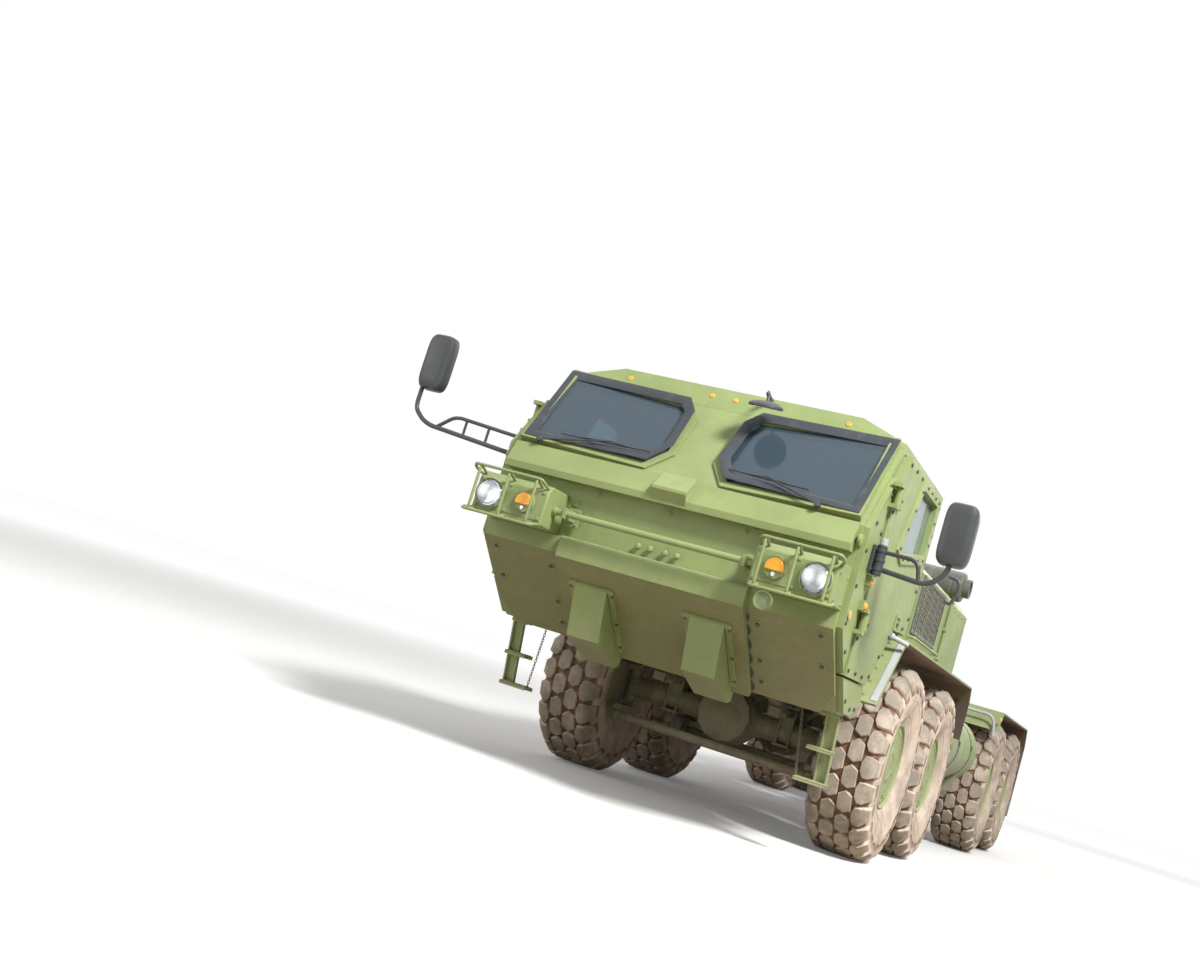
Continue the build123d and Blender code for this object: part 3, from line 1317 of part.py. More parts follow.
with BuildPart() as arm_barrel:
    bore = ARM_ROD_RADIUS + RUNNING_GAP
    ends = (ARM_RAM_BASE, ARM_RAM_EYE)
    ram_barrel(0, *ends, ARM_RAM_BARREL, ARM_RAM_RADIUS, bore, ARM_PIN, ARM_RAM_EYE_HALF)
save(arm_barrel.part, "arm_barrel")

with BuildPart() as arm_rod:
    ram_rod(0, ARM_RAM_BASE, ARM_RAM_EYE, ARM_ROD_RADIUS, ARM_EYE_PIN, ARM_RAM_EYE_HALF, RAM_TAIL)
save(arm_rod.part, "arm_rod")
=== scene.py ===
"""Looks for the eight-wheel cargo truck: tyres, wheels, glass, lamps, fittings, load handler and stage.

Metres. The truck faces -Y, its left side is +X, and the tyres stand on z = 0.
"""

from functools import cache
from math import atan2, cos, pi, radians, sin

import bpy
import numpy as np
from bpy.props import FloatProperty, FloatVectorProperty, IntProperty, PointerProperty
from mathutils import Matrix


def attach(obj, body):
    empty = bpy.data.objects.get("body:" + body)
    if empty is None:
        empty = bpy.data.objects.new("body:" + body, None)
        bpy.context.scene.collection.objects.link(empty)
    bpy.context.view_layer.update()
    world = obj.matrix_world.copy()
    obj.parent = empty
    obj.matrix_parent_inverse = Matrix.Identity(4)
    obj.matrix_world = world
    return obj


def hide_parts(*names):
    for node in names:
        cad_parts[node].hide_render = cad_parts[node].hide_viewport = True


bl_info = {
    "name": "Eight-Wheel Truck Finish",
    "version": (1, 0, 0),
    "blender": (4, 5, 0),
    "location": "View3D > Sidebar > Truck",
    "description": "Adds tread, glass, lamps, bolts, mirrors and paint to the truck's fixed frame",
    "category": "Add Mesh",
}

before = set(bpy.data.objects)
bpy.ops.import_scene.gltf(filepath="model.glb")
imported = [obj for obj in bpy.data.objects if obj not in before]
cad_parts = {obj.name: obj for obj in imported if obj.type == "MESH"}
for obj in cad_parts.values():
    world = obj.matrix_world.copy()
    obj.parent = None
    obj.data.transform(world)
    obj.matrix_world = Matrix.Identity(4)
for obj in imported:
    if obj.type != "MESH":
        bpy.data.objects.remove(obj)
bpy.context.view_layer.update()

SIDES = (("left", 1), ("right", -1))
AXLE_1 = -2.619
AXLES = ((1, AXLE_1), (2, AXLE_1 + 1.524), (3, AXLE_1 + 5.334), (4, AXLE_1 + 6.858))
HUB_X = 1.0035
HUB_Z = 0.66575
NOSE = AXLE_1 - 2.225
CAB_HALF = 1.100
PLATE_X = CAB_HALF + 0.038
DOOR_X = CAB_HALF + 0.050
HINGE_HEIGHTS = (1.400, 2.130)
LAMP_FRONT = AXLE_1 - 2.495
HOUSING_X = CAB_HALF + 0.005
RAIL_X = 0.455
FENDER_X = CAB_HALF + 0.122
LAMP_X, LAMP_Z = 1.003, 1.509
BULB_X, BULB_UP = 0.036, 0.006
SIGNAL_X, SIGNAL_Z = 0.772, 1.513
BULGE_EDGE = 0.592
EDGE_RADIUS = 0.005


class TruckSizes(bpy.types.PropertyGroup):
    """Sizes of the added pieces."""

    tyre_radius: FloatProperty(
        name="Tyre radius", description="Height of the tread's crown above the hub",
        default=0.6652, unit="LENGTH",
    )
    tyre_half_width: FloatProperty(
        name="Tyre half width", description="Half of the tyre's section width", default=0.2185, unit="LENGTH"
    )
    lug_depth: FloatProperty(
        name="Lug depth", description="Depth of the grooves between the lugs", default=0.026, unit="LENGTH"
    )
    lug_count: IntProperty(
        name="Lug count", description="Lugs round one row of the tread", default=24, min=8, max=48
    )
    bolt_radius: FloatProperty(
        name="Bolt radius", description="Across-corners radius of the common bolt heads",
        default=0.0125, unit="LENGTH",
    )
    bolt_gap: FloatProperty(
        name="Bolt spacing", description="Distance between bolts along a plate's edge",
        default=0.125, unit="LENGTH",
    )
    seal_width: FloatProperty(
        name="Screen seal width", description="Width of the dark border inside each windscreen's frame",
        default=0.030, unit="LENGTH",
    )
    lens_length: FloatProperty(
        name="Camera lens", description="Focal length of the photograph's camera", default=41.54, unit="NONE"
    )


def colour(name, description, default):
    """A colour setting with its default as plain red, green and blue."""
    return FloatVectorProperty(
        name=name, description=description, default=default, subtype="COLOR", size=3, min=0, max=1
    )


class TruckColours(bpy.types.PropertyGroup):
    """Colours of the finishes."""

    green: colour("Body green", "Matt green of the cab and housings", (0.245, 0.300, 0.118))
    chassis: colour("Chassis green", "Darker green of the frame and running gear", (0.120, 0.135, 0.062))
    dust: colour("Road dust", "Pale beige dust on the tyres and low parts", (0.60, 0.50, 0.41))
    rust: colour("Rust dirt", "Brown dirt under the fenders and in the grooves", (0.150, 0.085, 0.055))
    # Under colour: painted shade and painted ground bounce on faces that look down, mixed with dirt
    olive: colour("Under shade and dirt", "Olive-brown film on faces that look down", (0.125, 0.102, 0.030))
    rubber: colour("Tyre rubber", "Clean rubber in the grooves", (0.032, 0.029, 0.027))
    black: colour("Black paint", "Mirror cases and tubes", (0.045, 0.049, 0.052))
    grey: colour("Light grey", "Bare and zinc-grey fittings", (0.42, 0.44, 0.45))
    # Screen glass: a tint that also carries painted reflection, the slate-blue of sky seen in the screens
    glass: colour("Screen glass", "Tint of the thick screens", (0.165, 0.245, 0.315))
    amber: colour("Amber", "Turn signal and marker lenses", (0.95, 0.40, 0.012))


def settings():
    """The scene's sizes and colours."""
    scene = bpy.context.scene
    return scene.truck_sizes, scene.truck_colours


# Shapes: a shape is its points, an array of rows x, y, z, and its faces, lists of point numbers
def outward(points, faces):
    """Turn a closed shape's faces outwards: fans of triangles from each face sum to a positive volume."""
    points = np.asarray(points, float).reshape(-1, 3)
    fans = [(f[0], f[i], f[i + 1]) for f in faces for i in range(1, len(f) - 1)]
    a, b, c = (points[[fan[i] for fan in fans]] for i in range(3))
    if np.einsum("ij,ij->i", a, np.cross(b, c)).sum() < 0:
        faces = [list(f)[::-1] for f in faces]
    return points, faces


def join(*shapes):
    """Several shapes as one: points end to end, face numbers counted on."""
    points, faces, start = [], [], 0
    for p, f in shapes:
        points.append(p)
        faces.extend([[i + start for i in face] for face in f])
        start += len(p)
    return np.concatenate(points), faces


def skin(rings, loop=False):
    """Quads from each ring of points to the next; polygons close the ends, or the last joins the first."""
    rings = np.asarray(rings, float)
    count, around = rings.shape[:2]
    number = np.arange(count * around).reshape(count, around)
    ahead = np.roll(number, -1, axis=0) if loop else number[1:]
    here = number if loop else number[:-1]
    quads = np.stack([here, np.roll(here, -1, 1), np.roll(ahead, -1, 1), ahead], -1).reshape(-1, 4).tolist()
    if not loop:
        quads += [number[0][::-1].tolist(), number[-1].tolist()]
    return outward(rings.reshape(-1, 3), quads)


def inset(outline, distance):
    """Move each edge of an anticlockwise outline inwards.

    A corner goes along the sum of its two edge normals, over one plus their dot product.
    """
    outline = np.asarray(outline, float)
    edge = np.roll(outline, -1, 0) - outline
    edge /= np.linalg.norm(edge, axis=1)[:, None]
    normal = np.stack([-edge[:, 1], edge[:, 0]], 1)
    before = np.roll(normal, 1, 0)
    return outline + distance * (normal + before) / (1 + (normal * before).sum(1))[:, None]


def anticlockwise(outline):
    """The outline in anticlockwise order, by the sign of its area."""
    outline = np.asarray(outline, float)
    x, y = outline.T
    area = (x * np.roll(y, -1) - y * np.roll(x, -1)).sum()
    return outline if area > 0 else outline[::-1]


def level(ring, height):
    """A flat ring of x and y at one height."""
    return np.column_stack([ring, np.full(len(ring), height)])


def plate(outline, low, high, chamfer=0.0015):
    """A flat outline in x and y carried from one height to another, with an inset outline at each end."""
    outline = anticlockwise(outline)
    small = inset(outline, chamfer)
    levels = ((small, low), (outline, low + chamfer), (outline, high - chamfer), (small, high))
    return skin([level(ring, height) for ring, height in levels])


def band(outline, width, low, high):
    """A flat frame between an outline and its inset by the width, from one height to another."""
    outline = anticlockwise(outline)
    small = inset(outline, width)
    corners = ((outline, low), (outline, high), (small, high), (small, low))
    return skin([level(ring, height) for ring, height in corners], loop=True)


def brick(x, y, z, chamfer=0.002):
    """A box between pairs of x, y and z with chamfered rims."""
    outline = ((x[0], y[0]), (x[1], y[0]), (x[1], y[1]), (x[0], y[1]))
    return plate(outline, min(z), max(z), chamfer)


def circle(radius, sides, turn=0.0):
    """Points evenly round a circle."""
    angle = np.linspace(0, 2 * pi, sides, endpoint=False) + turn
    return np.stack([radius * np.cos(angle), radius * np.sin(angle)], 1)


def disc(radius, low, high, sides=24, chamfer=0.0015):
    """A round plate with chamfered rims."""
    return plate(circle(radius, sides), low, high, chamfer)


def turned(profile, sides=48, loop=False):
    """Rows of height and radius carried round the z axis by cosine and sine."""
    profile = np.asarray(profile, float)
    angle = np.linspace(0, 2 * pi, sides, endpoint=False)
    height, radius = profile[:, :1], profile[:, 1:]
    return skin(np.stack([radius * np.cos(angle), radius * np.sin(angle), height + 0 * angle], -1), loop)


def collar(middle, half, inner, outer, sides):
    """A flat ring round the z axis: a rectangle of height and radius carried round."""
    low, high = middle - half, middle + half
    return turned([(low, inner), (low, outer), (high, outer), (high, inner)], sides, loop=True)


def rounded(points, radius, steps=5):
    """A route whose corners are curves: quadratic blends of the points just before and after each corner."""
    points = [np.asarray(p, float) for p in points]
    route = [points[0]]
    for before, here, after in zip(points, points[1:], points[2:]):
        a, b = before - here, after - here
        reach = min(radius, 0.48 * np.linalg.norm(a), 0.48 * np.linalg.norm(b))
        a, b = here + a / np.linalg.norm(a) * reach, here + b / np.linalg.norm(b) * reach
        t = np.linspace(0, 1, steps)[:, None]
        route.extend((1 - t) ** 2 * a + 2 * t * (1 - t) * here + t**2 * b)
    route.append(points[-1])
    return np.array(route)


def tube(points, radius, bend=0.0, sides=10):
    """A circle carried along a route, square to the mean of the runs beside it, without twisting."""
    route = rounded(points, bend) if bend else np.asarray(points, float)
    run = np.diff(route, axis=0)
    run /= np.linalg.norm(run, axis=1)[:, None]
    along = np.vstack([run[:1], run[:-1] + run[1:], run[-1:]])
    along /= np.linalg.norm(along, axis=1)[:, None]
    axis = np.cross(along[0], (0.31, 0.17, 0.93))
    rings = []
    for place, direction in zip(route, along):
        axis = axis - direction * (axis @ direction)
        axis /= np.linalg.norm(axis)
        other = np.cross(direction, axis)
        ring = circle(radius, sides)
        rings.append(place + ring[:, :1] * axis + ring[:, 1:] * other)
    return skin(rings)


def stand(origin, out, up=(0, 0, 1)):
    """A placing matrix: local z points out, local y is up squared to it, and local x is y cross z."""
    out = np.asarray(out, float) / np.linalg.norm(out)
    y = np.asarray(up, float) - out * np.dot(up, out)
    y /= np.linalg.norm(y)
    matrix = np.eye(4)
    matrix[:3, :3] = np.stack([np.cross(y, out), y, out], 1)
    matrix[:3, 3] = origin
    return matrix


def put(shape, *places):
    """Copies of a shape, its points multiplied by each placing matrix at once."""
    points, faces = shape
    matrices = np.asarray(places, float).reshape(-1, 4, 4)
    moved = np.einsum("mij,nj->mni", matrices[:, :3, :3], points) + matrices[:, None, :3, 3]
    flipped = np.linalg.det(matrices[:, :3, :3]) < 0
    copies = [(p, [f[::-1] for f in faces] if flip else faces) for p, flip in zip(moved, flipped)]
    return join(*copies)


def mirrored(shape):
    """The shape reflected across x = 0, its faces turned over to stay outwards."""
    points, faces = shape
    return points * (-1, 1, 1), [list(f)[::-1] for f in faces]


def both(shape):
    """The shape and its reflection across x = 0."""
    return join(shape, mirrored(shape))


def bolts(radius, height, places, washer=0.0, sides=6):
    """Bolt heads, hexagons or rounds, on each placing matrix, with washers if a radius is given."""
    head = plate(circle(radius, sides, 0.3), 0, height, min(radius * 0.18, height * 0.4))
    if washer:
        head = join(disc(washer, -0.001, height * 0.3, 16, 0.0008), head)
    return put(head, *places)


def piece(name, body, slot, finish, *shapes, replaces=(), smooth=32):
    """Put shapes into one mesh object that rides on a body, with its finish; its slot is not used."""
    points, faces = join(*shapes)
    mesh = bpy.data.meshes.new(name)
    mesh.from_pydata(points.tolist(), [], faces)
    mesh.update()
    mesh.shade_smooth()
    mesh.set_sharp_from_angle(angle=radians(smooth))
    made = bpy.data.objects.new(name, mesh)
    bpy.context.scene.collection.objects.link(made)
    mesh.materials.append(finish)
    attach(made, body)
    if replaces:
        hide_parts(*replaces)
    return made


def set_values(made, name, values):
    """Store one number for each point of a piece under an attribute's name."""
    attribute = made.data.attributes.new(name, "FLOAT", "POINT")
    attribute.data.foreach_set("value", np.asarray(values, np.float32))


def spaced(points, gap, closed=False):
    """Points evenly spaced along straight runs, by interpolating each coordinate over the distance run."""
    points = np.asarray(points, float)
    if closed:
        points = np.vstack([points, points[:1]])
    run = np.concatenate([[0], np.cumsum(np.linalg.norm(np.diff(points, axis=0), axis=1))])
    count = max(1, round(run[-1] / gap))
    at = np.linspace(0, run[-1], count + 1)[: count if closed else count + 1]
    return np.stack([np.interp(at, run, column) for column in points.T], 1)


def superellipse(half_width, half_height, power, sides=48):
    """A squarish round: cosine and sine, each raised to a power that keeps its sign."""
    t = np.linspace(0, 2 * pi, sides, endpoint=False)
    c, s = np.cos(t), np.sin(t)
    x, y = np.sign(c) * np.abs(c) ** power, np.sign(s) * np.abs(s) ** power
    return np.stack([half_width * x, half_height * y], 1)


SIDE_VIEW = np.array(((0, 0, 1, 0), (1, 0, 0, 0), (0, 1, 0, 0), (0, 0, 0, 1)), float)


def side_plate(points, x_from, x_to, chamfer=0.003):
    """An outline drawn in the side view, as y and z, carried from one x to another."""
    return put(plate(points, min(x_from, x_to), max(x_from, x_to), chamfer), SIDE_VIEW)


def shift(x, y, z):
    """A placing matrix that only moves."""
    matrix = np.eye(4)
    matrix[:3, 3] = (x, y, z)
    return matrix


def on_side(x, y, z, side=1):
    """A place on a face that looks sideways."""
    return stand((side * x, y, z), (side, 0, 0))


def on_front(x, y, z):
    """A place on a face that looks forwards."""
    return stand((x, y, z), (0, -1, 0))


def round_axis(radius, angles, height):
    """Places round the z axis at each angle, at one height."""
    return [shift(radius * cos(a), radius * sin(a), height) for a in angles]


def drum(start, end, profile, sides=36):
    """A turned shape from one point towards another, its profile in distance and radius."""
    start, end = np.asarray(start, float), np.asarray(end, float)
    out = end - start
    up = (0, 0, 1) if abs(out[2]) < 0.9 * np.linalg.norm(out) else (0, 1, 0)
    return put(turned(profile, sides), stand(start, out, up))


# Shader nodes
def give(tree, made, values):
    """Give each named input of a node a value or a link."""
    for key, value in values.items():
        if isinstance(value, bpy.types.NodeSocket):
            tree.links.new(value, made.inputs[key])
        else:
            made.inputs[key].default_value = value


def node(tree, kind, inputs=None, **props):
    """Add a node, set its properties, and give its inputs their values or links."""
    made = tree.nodes.new(kind)
    for key, value in props.items():
        setattr(made, key, value)
    give(tree, made, inputs or {})
    return made


def maths(tree, operation, a, b=0.0, clamp=False):
    """A Math node's output."""
    return node(tree, "ShaderNodeMath", {0: a, 1: b}, operation=operation, use_clamp=clamp).outputs[0]


def ramp(tree, value, low, high, to_low=0.0, to_high=1.0):
    """Map a value smoothly from one range to another."""
    ranges = {"Value": value, "From Min": low, "From Max": high, "To Min": to_low, "To Max": to_high}
    return node(tree, "ShaderNodeMapRange", ranges, interpolation_type="SMOOTHSTEP").outputs["Result"]


def blend(tree, factor, a, b):
    """A colour mix's output."""
    return node(tree, "ShaderNodeMix", {0: factor, 6: a, 7: b}, data_type="RGBA").outputs[2]


def noise(tree, vector, scale, detail=3.0, rough=0.55):
    """A noise texture's value."""
    values = {"Vector": vector, "Scale": scale, "Detail": detail, "Roughness": rough}
    return node(tree, "ShaderNodeTexNoise", values).outputs[0]


def cells(tree, vector, scale):
    """The distance to the nearest point of a scattered set, which makes small cells."""
    return node(tree, "ShaderNodeTexVoronoi", {"Vector": vector, "Scale": scale}).outputs["Distance"]


def stretched(tree, vector, scale):
    """Coordinates scaled on each axis."""
    return node(tree, "ShaderNodeMapping", {"Vector": vector, "Scale": scale}).outputs[0]


def object_place(tree):
    """Object coordinates, in metres: every piece stands at the frame's origin."""
    return node(tree, "ShaderNodeTexCoord").outputs["Object"]


def axes(tree, vector):
    """A vector's X, Y and Z as outputs."""
    return node(tree, "ShaderNodeSeparateXYZ", {0: vector}).outputs


def bump(tree, height, strength, distance=0.001):
    """A Bump node's normal."""
    values = {"Strength": strength, "Distance": distance, "Height": height}
    return node(tree, "ShaderNodeBump", values).outputs[0]


def group(name, inputs, outputs):
    """A new node group, its inputs' sockets and its output node.

    Inputs are names with their defaults. An output called Normal is a vector, and the rest are numbers.
    """
    tree = bpy.data.node_groups.new(name, "ShaderNodeTree")
    for label, default in inputs.items():
        socket = tree.interface.new_socket(name=label, in_out="INPUT", socket_type="NodeSocketFloat")
        socket.default_value = default
    for label in outputs:
        kind = "NodeSocketVector" if label == "Normal" else "NodeSocketFloat"
        tree.interface.new_socket(name=label, in_out="OUTPUT", socket_type=kind)
    return tree, tree.nodes.new("NodeGroupInput").outputs, tree.nodes.new("NodeGroupOutput")


def use(tree, made_group, values):
    """The outputs of a group node whose inputs take the given values."""
    return node(tree, "ShaderNodeGroup", values, node_tree=made_group).outputs


# Shared effects
@cache
def ground_dust():
    """Dust that thickens towards the ground, lies on faces that look up, and runs down in streaks. Its Under
    output marks faces that look down, which take painted shade and dirt.
    """
    inputs = {"Top Height": 1.2, "Low Dust": 0.8, "Flat Dust": 0.4, "Streaks": 0.2}
    tree, given, out = group("ground dust", inputs, ("Dust", "Mottle", "Under"))
    place = object_place(tree)
    facing = axes(tree, node(tree, "ShaderNodeNewGeometry").outputs["Normal"])["Z"]
    cloud = noise(tree, place, 2.3, 5.0, 0.62)
    fine = noise(tree, place, 38.0, 3.0, 0.6)
    streak = noise(tree, stretched(tree, place, (14.0, 14.0, 1.3)), 1.0, 3.0)
    below = maths(tree, "SUBTRACT", given["Top Height"], axes(tree, place)["Z"])
    near_ground = maths(tree, "DIVIDE", below, given["Top Height"])
    low = maths(tree, "MULTIPLY", ramp(tree, near_ground, 0.0, 0.85), given["Low Dust"])
    broken = maths(tree, "ADD", cloud, maths(tree, "MULTIPLY", fine, 0.35))
    low = maths(tree, "MULTIPLY", low, ramp(tree, broken, 0.42, 0.82, 0.35, 1.0))
    flat = maths(tree, "MULTIPLY", ramp(tree, facing, 0.55, 0.98), given["Flat Dust"])
    flat = maths(tree, "MULTIPLY", flat, ramp(tree, fine, 0.3, 0.7, 0.4, 1.0))
    run = maths(tree, "MULTIPLY", ramp(tree, streak, 0.52, 0.75), given["Streaks"])
    total = maths(tree, "ADD", maths(tree, "ADD", low, flat), run, clamp=True)
    # Under: a mask of faces that look down, for painted shade and dirt
    give(tree, out, {"Dust": total, "Mottle": cloud, "Under": ramp(tree, facing, -0.25, -0.70)})
    return tree


@cache
def worn_edge():
    """An edge is where a rounded normal leaves the true one; a noise breaks it into chips and rubs."""
    tree, given, out = group("worn edge", {"Radius": 0.006, "Wear": 0.5}, ("Edge", "Normal"))
    soft = node(tree, "ShaderNodeBevel", {"Radius": given["Radius"]}, samples=4).outputs[0]
    true = node(tree, "ShaderNodeNewGeometry").outputs["Normal"]
    agree = node(tree, "ShaderNodeVectorMath", {0: soft, 1: true}, operation="DOT_PRODUCT").outputs["Value"]
    edge = ramp(tree, maths(tree, "SUBTRACT", 1.0, agree), 0.02, 0.22)
    chips = ramp(tree, noise(tree, object_place(tree), 26.0, 5.0, 0.7), 0.50, 0.66)
    worn = maths(tree, "MULTIPLY", maths(tree, "MULTIPLY", edge, chips), given["Wear"], clamp=True)
    give(tree, out, {"Edge": worn, "Normal": soft})
    return tree


@cache
def fine_grain():
    """A fine sprayed or cast grain for bump, and a broad noise for small changes of gloss."""
    tree, given, out = group("fine grain", {"Scale": 260.0}, ("Height", "Gloss Change"))
    place = object_place(tree)
    broad = noise(tree, place, 7.0, 4.0, 0.6)
    grain = noise(tree, place, given["Scale"], 2.0, 0.5)
    give(tree, out, {"Height": grain, "Gloss Change": ramp(tree, broad, 0.3, 0.7, -0.06, 0.08)})
    return tree


# Finishes
def material(name):
    """A new material, its node tree and its Principled shader."""
    made = bpy.data.materials.new(name)
    made.use_nodes = True
    return made, made.node_tree, made.node_tree.nodes["Principled BSDF"]


def base_colour(made):
    """A painted material's node tree, its shader and the output that feeds its base colour."""
    shader = made.node_tree.nodes["Principled BSDF"]
    return made.node_tree, shader, shader.inputs["Base Color"].links[0].from_socket


def rgba(value, gain=1.0):
    """A colour setting with its alpha, made lighter or darker."""
    return (*[min(1.0, v * gain) for v in value], 1.0)


def painted(name, base, dust=(1.15, 0.30, 0.22, 0.05), wear=0.5, rough=0.5, grain=240.0, bare=2.1, under=0.35,
            dirt=None):
    """Sprayed paint: its colour clouded a little, darkened below by painted shade and dirt, rubbed pale at
    its edges, under ground dust.

    The dust's four numbers are the height where it ends, and how much lies low, on level faces and in
    streaks.
    """
    made, tree, shader = material(name)
    _, hues = settings()
    keys = ("Top Height", "Low Dust", "Flat Dust", "Streaks")
    ground = use(tree, ground_dust(), dict(zip(keys, dust)))
    worn = use(tree, worn_edge(), {"Radius": EDGE_RADIUS, "Wear": wear})
    fine = use(tree, fine_grain(), {"Scale": grain})
    clouded = blend(tree, ramp(tree, ground["Mottle"], 0.35, 0.68), rgba(base, 0.91), rgba(base, 1.08))
    # Faces that look down blend towards the dirt colour, olive by default: on the cab this is painted shade
    # and dirt
    film = maths(tree, "MULTIPLY", ground["Under"], under)
    rubbed = blend(tree, worn["Edge"], blend(tree, film, clouded, rgba(dirt or hues.olive)), rgba(base, bare))
    gloss = maths(tree, "ADD", rough, fine["Gloss Change"])
    gloss = maths(tree, "ADD", gloss, maths(tree, "MULTIPLY", ground["Dust"], 0.3), clamp=True)
    relief = {"Strength": 0.10, "Distance": 0.001, "Height": fine["Height"], "Normal": worn["Normal"]}
    give(tree, shader, {
        "Base Color": blend(tree, ground["Dust"], rubbed, rgba(hues.dust)),
        "Roughness": gloss,
        "Normal": node(tree, "ShaderNodeBump", relief).outputs[0],
        "Specular IOR Level": 0.38,
    })
    return made


@cache
def green_paint():
    """The cab's matt green."""
    return painted("matt green", settings()[1].green, wear=0.55)


@cache
def chin_paint():
    """The cab's green on the chin, faintly rubbed, darker on faces that look down with painted shade and
    dirt, with a dark scalloped band beside the bulged plate.

    The band is dark between the plate's edge and a rectified sine wave along the height.
    """
    # under=0.72: stronger painted shade and dirt on the chin's faces that look down
    made = painted("chin green", settings()[1].green, wear=0.6, under=0.72)
    tree, shader, paint = base_colour(made)
    place = object_place(tree)
    apart = axes(tree, place)
    low = ramp(tree, apart["Z"], 1.24, 1.28, 1.0, 0.0)
    past = maths(tree, "SUBTRACT", maths(tree, "ABSOLUTE", apart["X"]), BULGE_EDGE)
    wave = maths(tree, "ABSOLUTE", maths(tree, "SINE", maths(tree, "MULTIPLY", apart["Z"], 44.0)))
    inner = maths(tree, "SUBTRACT", maths(tree, "MULTIPLY", wave, 0.024), past)
    # seam: a near-black scalloped band just outside the bulged plate's edge
    seam = maths(tree, "MULTIPLY", ramp(tree, past, -0.001, 0.001), ramp(tree, inner, 0.0, 0.003))
    rubs = ramp(tree, noise(tree, place, 9.0, 6.0, 0.75), 0.60, 0.78, 0.0, 0.45)
    rubbed = blend(tree, maths(tree, "MULTIPLY", rubs, low), paint, (0.36, 0.32, 0.20, 1))
    dark = blend(tree, maths(tree, "MULTIPLY", seam, low), rubbed, (0.030, 0.032, 0.018, 1))
    give(tree, shader, {"Base Color": dark})
    return made


@cache
def fender_paint():
    """The green of the fenders, caked with brown dirt underneath."""
    _, hues = settings()
    return painted("fender green", hues.green, dust=(1.4, 0.35, 0.5, 0.05), under=0.95, dirt=hues.rust)


@cache
def chassis_paint():
    """The frame's darker green under road dirt."""
    _, hues = settings()
    dust = (1.25, 0.45, 0.40, 0.12)
    return painted("chassis green", hues.chassis, dust, rough=0.62, under=0.7, dirt=hues.rust)


@cache
def black_paint():
    """Satin black of the mirrors, wipers, tank straps and seat stands."""
    black = settings()[1].black
    return painted("satin black", black, (1.0, 0.3, 0.14, 0.03), wear=0.35, rough=0.36, bare=3.0, under=0.0)


@cache
def grey_paint():
    """Zinc grey of bare fittings and fender tubes."""
    return painted("zinc grey", settings()[1].grey, (1.3, 0.4, 0.3, 0.1), wear=0.4, bare=1.4, under=0.2)


@cache
def dull_grey():
    """Darker grey of the air cleaner, the grilles' slats and the ladders' chains."""
    return painted("dull grey", (0.105, 0.110, 0.095), (1.2, 0.4, 0.3, 0.1), wear=0.4, bare=1.8)


@cache
def mesh_paint():
    """Dusty olive of the grilles' mesh."""
    return painted("olive mesh", (0.215, 0.205, 0.095), (2.2, 0.5, 0.3, 0.1), wear=0.4, bare=1.6)


@cache
def screen_border():
    """Dark rubbery border of the screens, thinly dusted."""
    tone = (0.040, 0.048, 0.056)
    return painted("screen border", tone, (1.0, 0.1, 0.10, 0.05), wear=0.2, rough=0.45, under=0.0)


@cache
def shade_black_bolt_paint():
    """Nearly black bolt heads: painted shade, the dark look of shaded bolt heads given as their colour."""
    return painted("shade black bolt paint", (0.055, 0.052, 0.042), wear=0.4, rough=0.45, bare=2.5, under=0.1)


@cache
def rubber_sheet():
    """Mud flap rubber, browned by dust."""
    tone = (0.075, 0.052, 0.038)
    return painted("flap rubber", tone, (1.3, 0.5, 0.3, 0.30), wear=0.1, rough=0.75, bare=1.5)


@cache
def cast_iron():
    """Rough dark casting of the engine."""
    return painted("cast iron", (0.055, 0.054, 0.052), (1.6, 0.4, 0.4, 0.1), wear=0.4, rough=0.7, grain=120.0)


@cache
def wheel_paint():
    """Dusty green wheel paint with fine pale scratches: the borders of large cells, bent by a noise."""
    made = painted("wheel green", settings()[1].green, (1.3, 0.22, 0.2, 0.10), wear=0.6, rough=0.55)
    tree, shader, paint = base_colour(made)
    place = object_place(tree)
    swirl = node(tree, "ShaderNodeTexNoise", {"Vector": place, "Scale": 5.0, "Detail": 2.0}).outputs[1]
    bent = node(tree, "ShaderNodeVectorMath", {0: place, 1: swirl}, operation="ADD").outputs[0]
    borders = node(tree, "ShaderNodeTexVoronoi", {"Vector": bent, "Scale": 6.5}, feature="DISTANCE_TO_EDGE")
    lines = ramp(tree, borders.outputs["Distance"], 0.0, 0.018, 1.0, 0.0)
    scratch = maths(tree, "MULTIPLY", lines, ramp(tree, noise(tree, place, 7.0, 2.0), 0.45, 0.6, 0.0, 0.55))
    give(tree, shader, {"Base Color": blend(tree, scratch, paint, (0.66, 0.68, 0.50, 1))})
    return made


